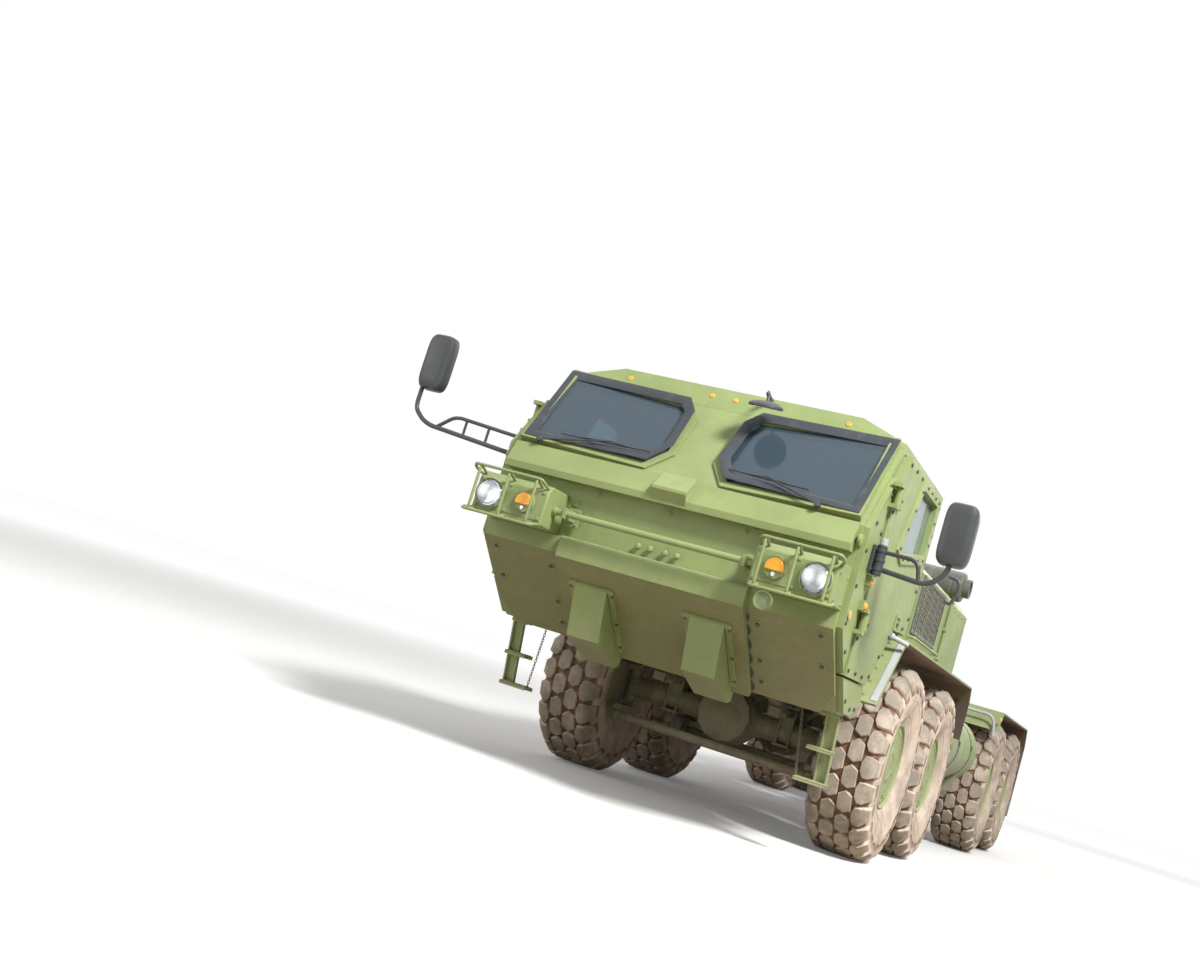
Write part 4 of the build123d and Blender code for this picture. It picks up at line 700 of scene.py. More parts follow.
@cache
def tyre_rubber():
    """Dirt caked in the grooves, dust on walls and lugs, and worn tops, by the tread's own attribute."""
    made, tree, shader = material("dusty tyre")
    _, hues = settings()
    place = object_place(tree)
    height = node(tree, "ShaderNodeAttribute", attribute_name="tread_height").outputs["Fac"]
    cloud = noise(tree, place, 6.0, 5.0, 0.65)
    fine = noise(tree, place, 90.0, 4.0, 0.65)
    patch = maths(tree, "ADD", maths(tree, "MULTIPLY", cloud, 0.65), maths(tree, "MULTIPLY", fine, 0.35))
    patchy = ramp(tree, patch, 0.30, 0.58, 0.72, 1.0)
    cover = maths(tree, "MULTIPLY", ramp(tree, height, 0.0, 0.55), patchy, clamp=True)
    caked = blend(tree, ramp(tree, patch, 0.34, 0.56, 0.2, 1.0), rgba(hues.rubber, 1.6), rgba(hues.rust, 1.5))
    tan = blend(tree, ramp(tree, cloud, 0.35, 0.65), rgba(hues.dust, 0.86), rgba(hues.dust, 1.12))
    worn = maths(tree, "MULTIPLY", ramp(tree, height, 0.78, 1.0), ramp(tree, patch, 0.62, 0.40, 0.45, 0.95))
    give(tree, shader, {
        "Base Color": blend(tree, worn, blend(tree, cover, caked, tan), (0.285, 0.250, 0.205, 1)),
        "Roughness": ramp(tree, cover, 0.0, 1.0, 0.72, 0.95),
        "Normal": bump(tree, patch, 0.35, 0.002),
        "Specular IOR Level": 0.25,
    })
    return made


def clear_glass(name, tint, clear=1.0, rough=0.02):
    """Glass: transmission with a tint and a trace of dust in its roughness."""
    made, tree, shader = material(name)
    smear = noise(tree, stretched(tree, object_place(tree), (5.0, 5.0, 2.0)), 1.0, 5.0)
    give(tree, shader, {
        "Base Color": rgba(tint),
        "Transmission Weight": clear,
        "IOR": 1.5,
        "Roughness": ramp(tree, smear, 0.45, 0.75, rough, rough + 0.07),
    })
    return made


@cache
def screen_glass():
    """The thick tinted screens; their slate-blue tint and diffuse share are partly painted reflection of the
    sky.
    """
    return clear_glass("screen glass", settings()[1].glass, 0.78)


@cache
def door_glass():
    """The paler glass of the doors."""
    return clear_glass("door glass", (0.55, 0.70, 0.72), 0.80)


@cache
def lamp_glass():
    """Clear lens of the headlamps."""
    return clear_glass("lamp glass", (0.97, 0.98, 0.98), rough=0.03)


def polished(name, tone):
    """Polished metal whose gloss changes a little."""
    made, tree, shader = material(name)
    gloss = ramp(tree, noise(tree, object_place(tree), 60.0), 0.3, 0.7, 0.06, 0.18)
    give(tree, shader, {"Base Color": rgba(tone), "Metallic": 1.0, "Roughness": gloss})
    return made


@cache
def bright_metal():
    """Mirror faces and the signals' small lamps."""
    return polished("bright metal", (0.86, 0.87, 0.88))


@cache
def lamp_bowl():
    """The headlamps' bowls: polished, with a painted glow round the two bulbs, an emission that fades with
    the distance.
    """
    made = polished("lamp bowl", (0.36, 0.39, 0.40))
    tree = made.node_tree
    apart = axes(tree, object_place(tree))
    off_lamp = maths(tree, "ABSOLUTE", maths(tree, "SUBTRACT", maths(tree, "ABSOLUTE", apart["X"]), LAMP_X))
    across = maths(tree, "SUBTRACT", off_lamp, BULB_X)
    up = maths(tree, "SUBTRACT", apart["Z"], LAMP_Z + BULB_UP)
    squares = maths(tree, "ADD", maths(tree, "MULTIPLY", across, across), maths(tree, "MULTIPLY", up, up))
    # glow: painted light, an emission pool on the bowl round each bulb
    glow = ramp(tree, maths(tree, "SQRT", squares), 0.016, 0.046, 0.55, 0.0)
    shader = tree.nodes["Principled BSDF"]
    give(tree, shader, {"Emission Color": (1.0, 0.98, 0.93, 1), "Emission Strength": glow})
    return made


@cache
def lit_bulb():
    """The bright faces inside the lit headlamps, brighter in the middle of each cell."""
    made, tree, shader = material("lit bulb")
    glow = ramp(tree, cells(tree, object_place(tree), 55.0), 0.0, 0.6, 1.0, 0.62)
    give(tree, shader, {
        "Emission Color": blend(tree, glow, (0.80, 0.86, 0.92, 1), (1, 1, 0.97, 1)),
        "Emission Strength": 1.5,
        "Base Color": (0.8, 0.8, 0.8, 1),
    })
    return made


@cache
def rod_chrome():
    """Hard chrome of the ram rods with a film of dust."""
    made, tree, shader = material("hard chrome")
    film = ramp(tree, noise(tree, object_place(tree), 9.0, 4.0), 0.45, 0.8, 0.0, 0.5)
    give(tree, shader, {
        "Base Color": blend(tree, film, (0.62, 0.63, 0.64, 1), rgba(settings()[1].dust, 0.8)),
        "Metallic": maths(tree, "SUBTRACT", 1.0, film),
        "Roughness": ramp(tree, film, 0.0, 0.5, 0.16, 0.6),
    })
    return made


def moulded_lens(name, tone, cell_scale, glow):
    """Lens plastic with a moulded prism pattern of small cells."""
    made, tree, shader = material(name)
    prisms = cells(tree, object_place(tree), cell_scale)
    hue = blend(tree, ramp(tree, prisms, 0.1, 0.7), rgba(tone, 1.15), rgba(tone, 0.68))
    give(tree, shader, {
        "Base Color": hue,
        "Emission Color": hue,
        "Emission Strength": glow,
        "Coat Weight": 0.5,
        "Roughness": ramp(tree, prisms, 0.0, 0.8, 0.18, 0.34),
        "Normal": bump(tree, prisms, 0.5),
    })
    return made


@cache
def amber_lens():
    """Amber lenses of the signal and marker lamps."""
    return moulded_lens("amber plastic", settings()[1].amber, 150.0, 0.15)


@cache
def red_lens():
    """Red lenses of the tail lamps."""
    return moulded_lens("red plastic", (0.55, 0.018, 0.012), 120.0, 0.05)


@cache
def seat_cloth():
    """Woven seat cover: the product of two crossed waves runs between two olives."""
    made, tree, shader = material("seat cover")
    place = object_place(tree)
    weave = []
    for axis in ("X", "Z"):
        wave = node(tree, "ShaderNodeTexWave", {"Vector": place, "Scale": 160.0}, bands_direction=axis)
        weave.append(wave.outputs["Fac"])
    threads = maths(tree, "MULTIPLY", *weave)
    tone = blend(tree, threads, (0.045, 0.047, 0.035, 1), (0.10, 0.105, 0.08, 1))
    give(tree, shader, {"Base Color": tone, "Roughness": 0.9, "Normal": bump(tree, threads, 0.3)})
    return made


@cache
def dash_plastic():
    """Dark moulded plastic with a pebble grain."""
    made, tree, shader = material("moulded plastic")
    place = object_place(tree)
    pebble = cells(tree, place, 420.0)
    tone = blend(tree, noise(tree, place, 4.0), (0.035, 0.035, 0.036, 1), (0.055, 0.054, 0.052, 1))
    give(tree, shader, {
        "Base Color": tone,
        "Roughness": ramp(tree, pebble, 0.0, 0.7, 0.5, 0.66),
        "Normal": bump(tree, pebble, 0.25, 0.0006),
    })
    return made


def finish_cad():
    """Give each CAD node that stays in view its finish."""
    knuckles = [f"knuckle_{number}_{name}" for number in (1, 2) for name, _ in SIDES]
    table = (
        (green_paint, ("cab_shell", "cab_roof", "sill_beam", "side_plates", "door_left", "door_right",
                       "engine_housing", "screen_frames")),
        (chin_paint, ("chin_armour",)),
        (fender_paint, ("front_fenders", "rear_fenders")),
        (chassis_paint, ("frame_rails", "rear_beam", "lift_subframe", "running_gear", "tank_cradles",
                         "middle_frame", "hook_arm", *knuckles)),
        (dull_grey, ("side_grilles",)),
        (rod_chrome, ("main_rods", "arm_rod")),
        (screen_glass, ("screen_glass",)),
        (door_glass, ("door_glass_left", "door_glass_right")),
        (rubber_sheet, ("mud_flaps",)),
        (cast_iron, ("engine_block",)),
        (dash_plastic, ("dashboard",)),
    )
    for finish, names in table:
        for name in names:
            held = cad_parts[name]
            held.data.materials.clear()
            held.data.materials.append(finish())


# Tyres
BEAD_X, BEAD_RADIUS = 0.158, 0.288
SHOULDER_X, SHOULDER_RADIUS = 0.15, 0.5
CROWN_FALL = 0.22
LUG_INSET = 0.002


def tyre_section(sizes):
    """Half of the tyre's section from its bead to its crown, as x and radius.

    The wall bulges with a sine, the shoulder is a quarter round flattened by a power, and the crown's radius
    falls with the square of x.
    """
    half = sizes.tyre_half_width
    crown = sizes.tyre_radius - sizes.lug_depth
    s = np.linspace(0, 1, 12)
    wall_x = BEAD_X + (half - BEAD_X) * np.sin(pi / 2 * s) ** 0.9
    wall = np.column_stack([wall_x, BEAD_RADIUS + (SHOULDER_RADIUS - BEAD_RADIUS) * s])
    v = np.linspace(0, pi / 2, 9)[1:]
    rise = crown - CROWN_FALL * SHOULDER_X**2 - SHOULDER_RADIUS
    shoulder_x = SHOULDER_X + (half - SHOULDER_X) * np.cos(v) ** 1.6
    shoulder = np.column_stack([shoulder_x, SHOULDER_RADIUS + rise * np.sin(v)])
    x = np.linspace(SHOULDER_X, 0, 6)[1:]
    return np.vstack([wall, shoulder, np.column_stack([x, crown - CROWN_FALL * x**2])])


def tread_row(outline, fold, count, stagger, sizes):
    """One row of lugs: an outline in x and pitch shares, at five radii, turned to every pitch at once.

    A lug's top radius falls with the square of x, and past the fold it drops in a straight line as well. Each
    level is the outline's scale, the drop below the top, and how high on the tread it counts for the dust.
    """
    outline = anticlockwise(outline)
    middle = outline.mean(0)
    levels = ((1.04, sizes.lug_depth + 0.008, 0.0), (1.0, 0.006, 0.6), (1.0, 0.004, 0.8), (0.95, 0.0, 1.0),
              (0.55, 0.0, 1.0))
    rings = []
    for scale, drop, _ in levels:
        ring = middle + (outline - middle) * scale
        past = (np.abs(ring[:, 0]) - fold) / (sizes.tyre_half_width - LUG_INSET - fold)
        past = np.clip(past, 0, 1)
        top = sizes.tyre_radius - CROWN_FALL * ring[:, 0] ** 2 - 0.052 * past
        rings.append(np.column_stack([ring, top - drop * (1 + 1.4 * past)]))
    rings = np.array(rings)
    turn = 2 * pi * (np.arange(count)[:, None, None] + rings[None, :, :, 1] + stagger) / count
    radius = rings[None, :, :, 2]
    points = np.stack([rings[None, :, :, 0] + 0 * turn, radius * np.sin(turn), radius * np.cos(turn)], -1)
    _, faces = skin(points[0])
    block = rings.shape[0] * rings.shape[1]
    every = [[i + k * block for i in face] for k in range(count) for face in faces]
    values = np.repeat([value for _, _, value in levels], rings.shape[1])
    return points.reshape(-1, 3), every, np.tile(values, count)


def tyre_shape(sizes):
    """The tyre about its hub: its section carried round, wall rings, four rows of lugs, and dust values."""
    half = tyre_section(sizes)
    section = np.vstack([half, half[-2::-1] * (-1, 1)])
    angle = np.linspace(0, 2 * pi, 96, endpoint=False)

    def carried(section):
        """Points of x and radius carried round the x axis."""
        across, out = section[:, :1], section[:, 1:]
        return np.stack([across + 0 * angle, out * np.sin(angle), out * np.cos(angle)], -1)

    shapes = [skin(carried(section), loop=True)]
    wall = 0.6 * np.clip((0.60 - section[:, 1]) / 0.03, 0, 1)
    values = [np.repeat(wall, len(angle))]
    for ring_radius, size in ((0.335, 0.003), (0.362, 0.004), (0.470, 0.003), (0.532, 0.0035)):
        ring_x = np.interp(ring_radius, half[:, 1], half[:, 0])
        ridge = np.array([(-0.006, -size), (size * 0.6, 0), (-0.006, size)]) + (ring_x, ring_radius)
        for sign in (1, -1):
            shapes.append(skin(carried(ridge) * (sign, 1, 1), loop=True))
            values.append(np.full(len(ridge) * len(angle), 0.7))
    inner = ((0.006, -0.30), (0.052, -0.455), (0.099, -0.34), (0.097, 0.28), (0.048, 0.44), (0.006, 0.26))
    edge = sizes.tyre_half_width - LUG_INSET
    outer = (
        (0.108, -0.20), (0.128, -0.41), (0.160, -0.43), (edge, -0.30),
        (edge, 0.27), (0.160, 0.41), (0.124, 0.40), (0.106, 0.16),
    )
    for sign in (1, -1):
        for outline, fold, stagger in ((inner, 0.17, 0.25), (outer, 0.160, 0.75)):
            flipped = [(sign * x, share) for x, share in outline]
            begin = stagger + (0.5 if sign < 0 else 0)
            points, faces, dust = tread_row(flipped, fold, sizes.lug_count, begin, sizes)
            shapes.append((points, faces))
            values.append(dust)
    return join(*shapes), np.concatenate(values)


def make_tyres():
    """Eight dressed tyres, each riding on its own wheel."""
    (points, faces), values = tyre_shape(settings()[0])
    for number, y in AXLES:
        for name, side in SIDES:
            label = f"{number}_{name}"
            moved = points * (side, 1, 1) + (side * HUB_X, y, HUB_Z)
            wound = faces if side > 0 else [face[::-1] for face in faces]
            made = piece(
                f"tread_{label}", f"wheel_{label}", "tyre_rubber", tyre_rubber(), (moved, wound),
                replaces=(f"tyre_{label}",), smooth=38,
            )
            set_values(made, "tread_height", values)


def wheel_shape():
    """A wheel about its hub, outer face towards +x: a turned disc with a rolled lip, bolts and plugs."""
    face = [
        (-0.150, 0.120), (-0.150, 0.255), (-0.158, 0.287), (-0.150, 0.2885), (0.146, 0.2885), (0.166, 0.291),
        (0.172, 0.288), (0.172, 0.283), (0.166, 0.279), (0.159, 0.276), (0.154, 0.268), (0.158, 0.262),
        (0.160, 0.233), (0.156, 0.227), (0.155, 0.126), (0.159, 0.120), (0.161, 0.088), (0.156, 0.082),
        (0.156, 0.001), (-0.100, 0.001), (-0.100, 0.120),
    ]
    angles = np.linspace(0, 2 * pi, 12, endpoint=False)
    rim_bolts = bolts(0.008, 0.006, round_axis(0.247, angles, 0.158))
    hub_bolts = bolts(0.0065, 0.004, round_axis(0.104, angles[::2], 0.160))
    plugs = bolts(0.012, 0.004, round_axis(0.178, (0.5, 1.3, 3.6, 4.4), 0.155), sides=14)
    valve = tube([(0.2, 0.03, 0.150), (0.2, 0.03, 0.164), (0.225, 0.03, 0.166)], 0.004, 0.004, 6)
    turn = np.eye(4)
    turn[:3, :3] = ((0, 0, 1), (0, 1, 0), (-1, 0, 0))
    return put(join(turned(face, 72, loop=True), rim_bolts, hub_bolts, plugs, valve), turn)


def make_wheels():
    """Eight wheels, each riding with its tyre."""
    shape = wheel_shape()
    for number, y in AXLES:
        for name, side in SIDES:
            points, faces = shape if side > 0 else mirrored(shape)
            label = f"{number}_{name}"
            piece(
                f"wheel_disc_{label}", f"wheel_{label}", "wheel_paint", wheel_paint(),
                (points + (side * HUB_X, y, HUB_Z), faces), replaces=(f"rim_{label}",),
            )


# Cab front
SCREEN_BASE = (1.072, AXLE_1 - 2.244, 1.929)
SCREEN_RAKE = atan2(0.424, 0.558)
SCREEN_YAW = radians(2.0)
SCREEN_OUTLINE = ((1.072, 0), (0.238, 0), (0.124, 0.172), (0.128, 0.525), (0.205, 0.650), (1.066, 0.700))
FRAME_WIDTH = 0.048
WIPERS = (
    (1, (0.829, -0.020), (0.487, 0.085), (0.249, 0.736)),
    (-1, (-0.930, -0.020), (-0.497, 0.075), (-0.828, -0.249)),
)
GUARD_RADIUS = 0.0092
LENS_RADIUS = 0.083


def screen_place(side):
    """One screen's placing matrix: the upright plane leaned back by the rake, then turned in itself."""
    upright = np.array(((1, 0, 0), (0, 0, -1), (0, 1, 0)), float)
    c, s = cos(-SCREEN_RAKE), sin(-SCREEN_RAKE)
    lean = np.array(((1, 0, 0), (0, c, -s), (0, s, c)))
    c, s = cos(-side * SCREEN_YAW), sin(-side * SCREEN_YAW)
    twist = np.array(((c, -s, 0), (s, c, 0), (0, 0, 1)))
    matrix = np.eye(4)
    matrix[:3, :3] = upright @ lean @ twist
    matrix[:3, 3] = (side * SCREEN_BASE[0], SCREEN_BASE[1], SCREEN_BASE[2])
    return matrix


def screen_spot(side, x, up, lift=0.0):
    """A point at x and a distance up one screen's plane, lifted off it."""
    return (screen_place(side) @ (x - side * SCREEN_BASE[0], up, lift, 1))[:3]


def make_screens():
    """Dark seals round the screens, inside their frames."""
    outer, inner = FRAME_WIDTH, FRAME_WIDTH + settings()[0].seal_width
    section = ((0.015, -0.001), (0.015, 0.002), (outer, 0.002), (inner, -0.0115), (inner, -0.0145),
               (outer - 0.002, -0.0145))
    seals = []
    for side in (1, -1):
        outline = anticlockwise([(side * (x - SCREEN_BASE[0]), up) for x, up in SCREEN_OUTLINE])
        rings = [level(inset(outline, away), lift) for away, lift in section]
        seals.append(put(skin(rings, loop=True), screen_place(side)))
    piece("screen_seals", "chassis", "flap_rubber", screen_border(), *seals)


def make_wipers():
    """Two wipers on the screens: a round pivot, an arm, and a blade's rubber with its bridge."""
    shapes = []
    for side, pivot, (x, up), (low, high) in WIPERS:
        base = screen_spot(side, *pivot, 0.004)
        normal = screen_spot(side, *pivot, 1.0) - screen_spot(side, *pivot, 0.0)
        shapes.append(put(disc(0.020, -0.004, 0.022, 18), stand(base, normal)))
        routes = (
            (0.0065, 8, ((*pivot, 0.020), (x, up, 0.026))),
            (0.0055, 6, ((low, up + 0.004, 0.006), (x, up, 0.006), (high, up + 0.004, 0.006))),
            (0.0045, 6, ((low + 0.12, up, 0.008), (x, up, 0.024), (high - 0.12, up, 0.008))),
        )
        for radius, sides, spots in routes:
            shapes.append(tube([screen_spot(side, *spot) for spot in spots], radius, sides=sides))
    piece("wipers", "chassis", "black_paint", black_paint(), *shapes)


def lamp_guard():
    """One side's guard: two bars and three posts, bent back into the box at their ends."""
    front, root = LAMP_FRONT - 0.074, LAMP_FRONT + 0.050
    shapes = []
    for height, root_height in ((1.385, 1.414), (1.655, 1.610)):
        between = (height + root_height) / 2
        bar = [
            (0.652, root, root_height), (0.664, front + 0.05, between), (0.672, front, height),
            (1.122, front, height), (1.130, front + 0.05, between), (1.098, root, root_height),
        ]
        shapes.append(tube(bar, GUARD_RADIUS, 0.025))
    for x in (0.700, 0.884, 1.080):
        post = [(x, root, 1.610), (x, front, 1.655), (x, front, 1.385), (x, root, 1.414)]
        shapes.append(tube(post, GUARD_RADIUS, 0.03))
    return join(*shapes)


def lamp_housing():
    """One side's lamp box with its sloped lid, face plate and screws."""
    profile = (
        (NOSE, 1.400), (LAMP_FRONT, 1.400), (LAMP_FRONT, 1.600), (LAMP_FRONT + 0.040, 1.640), (NOSE, 1.640)
    )
    outline = ((-0.222, -0.088), (0.222, -0.088), (0.222, 0.086), (-0.222, 0.086))
    face = put(plate(outline, -0.001, 0.004), on_front(0.8725, LAMP_FRONT, 1.512))
    screws = [on_front(x, LAMP_FRONT - 0.004, z) for x in (0.668, 0.888, 1.077) for z in (1.434, 1.588)]
    screws += [on_side(1.105, y, z) for y in (LAMP_FRONT + 0.05, NOSE - 0.05) for z in (1.43, 1.58)]
    screws += [shift(x, NOSE - 0.03, 1.640) for x in (0.68, 0.87, 1.06)]
    return join(side_plate(profile, 0.640, 1.105, 0.006), face, bolts(0.0085, 0.006, screws, 0.012))


def cross_rail():
    """The rail between the lamp boxes on its two bolted brackets, with a collar at each end."""
    y, z = AXLE_1 - 2.374, 1.517
    shapes = [tube([(-0.640, y, z), (0.640, y, z)], 0.019, sides=16)]
    heads = []
    for x in (-0.560, 0.560):
        shapes.append(brick((x - 0.012, x + 0.012), (AXLE_1 - 2.400, NOSE), (1.485, 1.549), 0.003))
        shapes.append(brick((x - 0.040, x + 0.040), (NOSE - 0.034, NOSE - 0.024), (1.462, 1.572)))
        heads += [on_front(x + dx, NOSE - 0.034, up) for dx in (-0.026, 0.026) for up in (1.478, 1.556)]
    collars = put(disc(0.026, -0.012, 0.012, 16), *[on_side(x, y, z) for x in (-0.628, 0.628)])
    return join(*shapes, collars, bolts(0.008, 0.006, heads))


def make_lamp_boxes():
    """The lamp boxes with lids, screws and guards, the cross rail on brackets, and the night lamp."""
    x, z = 0.750, 1.328
    night = turned([(0.0, 0.001), (0.0, 0.030), (0.012, 0.046), (0.030, 0.052), (0.058, 0.052),
                    (0.060, 0.046), (0.052, 0.043), (0.046, 0.001)], 28)
    night = put(night, on_front(x, LAMP_FRONT + 0.060, z))
    bracket = brick((x - 0.022, x + 0.022), (LAMP_FRONT + 0.020, LAMP_FRONT + 0.030), (z, 1.402))
    pane = turned([(0.0, 0.001), (0.0, 0.041), (0.003, 0.041), (0.007, 0.020), (0.008, 0.001)], 24)
    pane = put(pane, on_front(x, LAMP_FRONT + 0.012, z))
    parts = (
        ("lamp_housings", "hull_paint", green_paint, both(lamp_housing())),
        ("lamp_guards", "hull_paint", green_paint, both(lamp_guard())),
        ("cross_rail", "hull_paint", green_paint, cross_rail()),
        ("night_lamp", "hull_paint", green_paint, join(night, bracket)),
        ("night_lamp_lens", "headlamp_glass", lamp_glass, pane),
    )
    for name, slot, finish, shape in parts:
        piece(name, "chassis", slot, finish(), shape, replaces=("lamp_boxes",))


def make_headlamps():
    """Headlamps: a tapered bezel, a dished bowl with a painted glow, lit faces in the bowl and a clear domed
    lens.
    """
    places = [on_front(side * LAMP_X, LAMP_FRONT, LAMP_Z) for side in (1, -1)]
    spots = [shift(x, BULB_UP, 0) for x in (-BULB_X, BULB_X)]
    bezel = turned([(-0.002, 0.096), (0.010, 0.096), (0.026, 0.091), (0.030, 0.087), (0.028, 0.084),
                    (0.010, 0.083), (-0.002, 0.083)], loop=True)
    screws = bolts(0.006, 0.008, round_axis(0.090, (0.8, 2.35, 3.95, 5.5), 0.024))
    r = np.linspace(LENS_RADIUS, 0.001, 10)
    dish = np.column_stack([0.004 + 0.016 * (r / LENS_RADIUS) ** 2, r])
    bowl = turned(np.vstack([dish, [(0.001, 0.001), (0.001, 0.084)]]))
    bulb = turned([(0.004, 0.001), (0.004, 0.020), (0.018, 0.018), (0.025, 0.010), (0.026, 0.001)], 24)
    r = np.linspace(LENS_RADIUS, 0.001, 12)
    front = np.column_stack([0.026 + 0.034 * (1 - (r / LENS_RADIUS) ** 2) ** 0.8, r])
    dome = turned(np.vstack([[(0.023, 0.001), (0.023, LENS_RADIUS)], front]))
    ring = put(collar(0.015, 0.007, 0.021, 0.025, 28), *spots)
    parts = (
        ("headlamp_bezels", "hull_paint", green_paint, join(bezel, screws)),
        ("headlamp_bowls", "headlamp_glass", lamp_bowl, bowl),
        ("headlamp_bulbs", "headlamp_glass", lit_bulb, put(bulb, *spots)),
        ("headlamp_reflectors", "headlamp_glass", lamp_bowl, ring),
        ("headlamp_lenses", "headlamp_glass", lamp_glass, dome),
    )
    for name, slot, finish, shape in parts:
        piece(name, "chassis", slot, finish(), put(shape, *places), replaces=("headlamps",))


def make_signals():
    """Signal lamps: a green bezel with screws, an amber lens over the upper part, a small lamp below."""
    places = [on_front(side * SIGNAL_X, LAMP_FRONT, SIGNAL_Z) for side in (1, -1)]
    base = turned([(-0.002, 0.001), (-0.002, 0.066), (0.012, 0.066), (0.020, 0.062), (0.021, 0.001)], 40)
    screws = bolts(0.005, 0.004, round_axis(0.058, (-0.25, 3.4, 4.0, 5.42), 0.020))
    t = np.linspace(-0.28, pi + 0.28, 28)
    half = np.column_stack([0.054 * np.cos(t), 0.054 * np.sin(t)])
    lens = put(plate(half, 0.015, 0.034, 0.005), shift(0, -0.004, 0))
    small = put(disc(0.012, 0.015, 0.030, 18, 0.003), shift(0, -0.037, 0))
    parts = (
        ("signal_bases", "hull_paint", green_paint, join(base, screws)),
        ("signal_lenses", "amber_lens", amber_lens, lens),
        ("marker_lenses", "amber_lens", bright_metal, small),
    )
    for name, slot, finish, shape in parts:
        piece(name, "chassis", slot, finish(), put(shape, *places), replaces=("signal_lamps",))


def make_markers():
    """Small amber lamps: five along the visor, three on each side plate, one at each rear fender."""
    bases, lenses = [], []
    button = turned([(0.004, 0.001), (0.004, 0.019), (0.014, 0.017), (0.019, 0.009), (0.020, 0.001)], 20)
    for x in (-0.723, -0.157, 0.0, 0.157, 0.723):
        spot = stand((x, AXLE_1 - 1.712, 2.520), (0, -0.86, 0.51))
        bases.append(put(disc(0.026, -0.030, 0.006), spot))
        lenses.append(put(button, spot))
    dome = turned([(0.0, 0.001), (0.0, 0.020), (0.010, 0.018), (0.017, 0.010), (0.018, 0.001)], 18)
    oval = plate(superellipse(0.036, 0.017, 0.5), -0.002, 0.016, 0.004)
    for side in (1, -1):
        for z in (1.623, 1.483):
            x, y = (side * 1.136, side * 1.166), (AXLE_1 - 2.012, AXLE_1 - 1.962)
            bases.append(brick(x, y, (z - 0.030, z + 0.030), 0.003))
            lenses.append(put(dome, on_side(1.165, AXLE_1 - 1.987, z, side)))
        spot = on_side(PLATE_X, AXLE_1 - 2.170, 1.400, side)
        bases.append(put(disc(0.030, -0.002, 0.008), spot))
        lenses.append(put(disc(0.025, 0.006, 0.011), spot))
        lenses.append(put(oval, on_side(FENDER_X, 2.036, 1.357, side)))
    piece("marker_bases", "chassis", "hull_paint", green_paint(), *bases)
    piece("marker_ambers", "chassis", "amber_lens", amber_lens(), *lenses)


# Chin, plates and roof
CHIN_FOOT_Y, CHIN_FOOT_Z = AXLE_1 - 1.650, 0.877
CHIN_RUN = 0.575 / 0.433
CHIN_OUT = (0, -0.6016, -0.7988)
CHIN_UP = (0, -0.7988, 0.6016)
WING_THICK, BULGE_THICK = 0.026, 0.065
SIDE_BOLTS = (
    (-2.190, 1.350), (-2.190, 1.560), (-2.190, 1.760), (-2.120, 1.930), (-1.960, 2.125), (-1.960, 1.350),
    (-1.960, 1.900), (-1.880, 1.095), (-1.700, 0.960), (-1.540, 0.925), (-1.420, 0.935), (-2.030, 1.210),
)


def slope_place(x, z, thick):
    """A place on the chin's slope, at x and a height, with the plate's thickness."""
    foot_y, foot_z = CHIN_FOOT_Y + CHIN_OUT[1] * thick, CHIN_FOOT_Z + CHIN_OUT[2] * thick
    return stand((x, foot_y - (z - foot_z) * CHIN_RUN, z), CHIN_OUT, CHIN_UP)


def make_cab_bolts():
    """Bolts over the cab's plates, knobs on the recessed panel, hook cover flanges and lip caps."""
    r = settings()[0].bolt_radius
    nose = [(-0.466, 1.696), (0.0, 1.691), (0.466, 1.696), (-0.587, 1.599), (0.587, 1.599)]
    nose += [(side * x, 1.790) for side in (1, -1) for x in (0.30, 0.70, 1.03)]
    knob = turned([(-0.002, 0.001), (-0.002, 0.013), (0.012, 0.011), (0.016, 0.018), (0.030, 0.018),
                   (0.036, 0.012), (0.038, 0.001)], 18)
    slope = []
    for side in (1, -1):
        for x in (0.235, 0.507):
            slope += [slope_place(side * x, z, BULGE_THICK) for z in (1.150, 1.010, 0.890)]
        slope += [slope_place(side * 0.66, z, WING_THICK) for z in (1.22, 1.04, 0.93)]
        slope += [slope_place(side * 1.03, z, WING_THICK) for z in (1.25, 1.10)]
    roof = [shift(x, AXLE_1 + y, 2.590) for x in (-0.75, -0.25, 0.25, 0.75) for y in (-1.50, -1.0, -0.45)]
    shapes = [
        bolts(r, 0.010, [on_front(x, NOSE, z) for x, z in nose], 0.021),
        put(knob, *[on_front(x, NOSE, 1.458) for x in (-0.122, -0.047, 0.047, 0.122)]),
        put(disc(0.025, -0.001, 0.004, 20, 0.001), *slope),
        bolts(r, 0.008, roof, 0.018),
    ]
    cap = turned([(-0.004, 0.001), (-0.004, 0.036), (0.012, 0.036), (0.016, 0.030), (0.017, 0.001)], 24)
    flange = band(((0.0, -0.26), (0.0, 0.26), (0.29, 0.26), (0.29, -0.26)), 0.036, -0.001, 0.012)
    for side in (1, -1):
        shapes.append(put(cap, on_side(CAB_HALF, AXLE_1 - 2.235, 1.800, side)))
        shapes.append(put(flange, slope_place(side * 0.371 - 0.145, 1.020, BULGE_THICK)))
    sides = [on_side(PLATE_X, AXLE_1 + y, z, side) for y, z in SIDE_BOLTS for side in (1, -1)]
    # Chin and side bolt heads in the nearly black of painted shade
    piece("chin_bolts", "chassis", "grey_metal", shade_black_bolt_paint(), bolts(r * 1.25, 0.013, slope))
    piece("side_bolts", "chassis", "grey_metal", shade_black_bolt_paint(), bolts(r, 0.009, sides))
    piece("cab_bolts", "chassis", "hull_paint", green_paint(), *shapes)


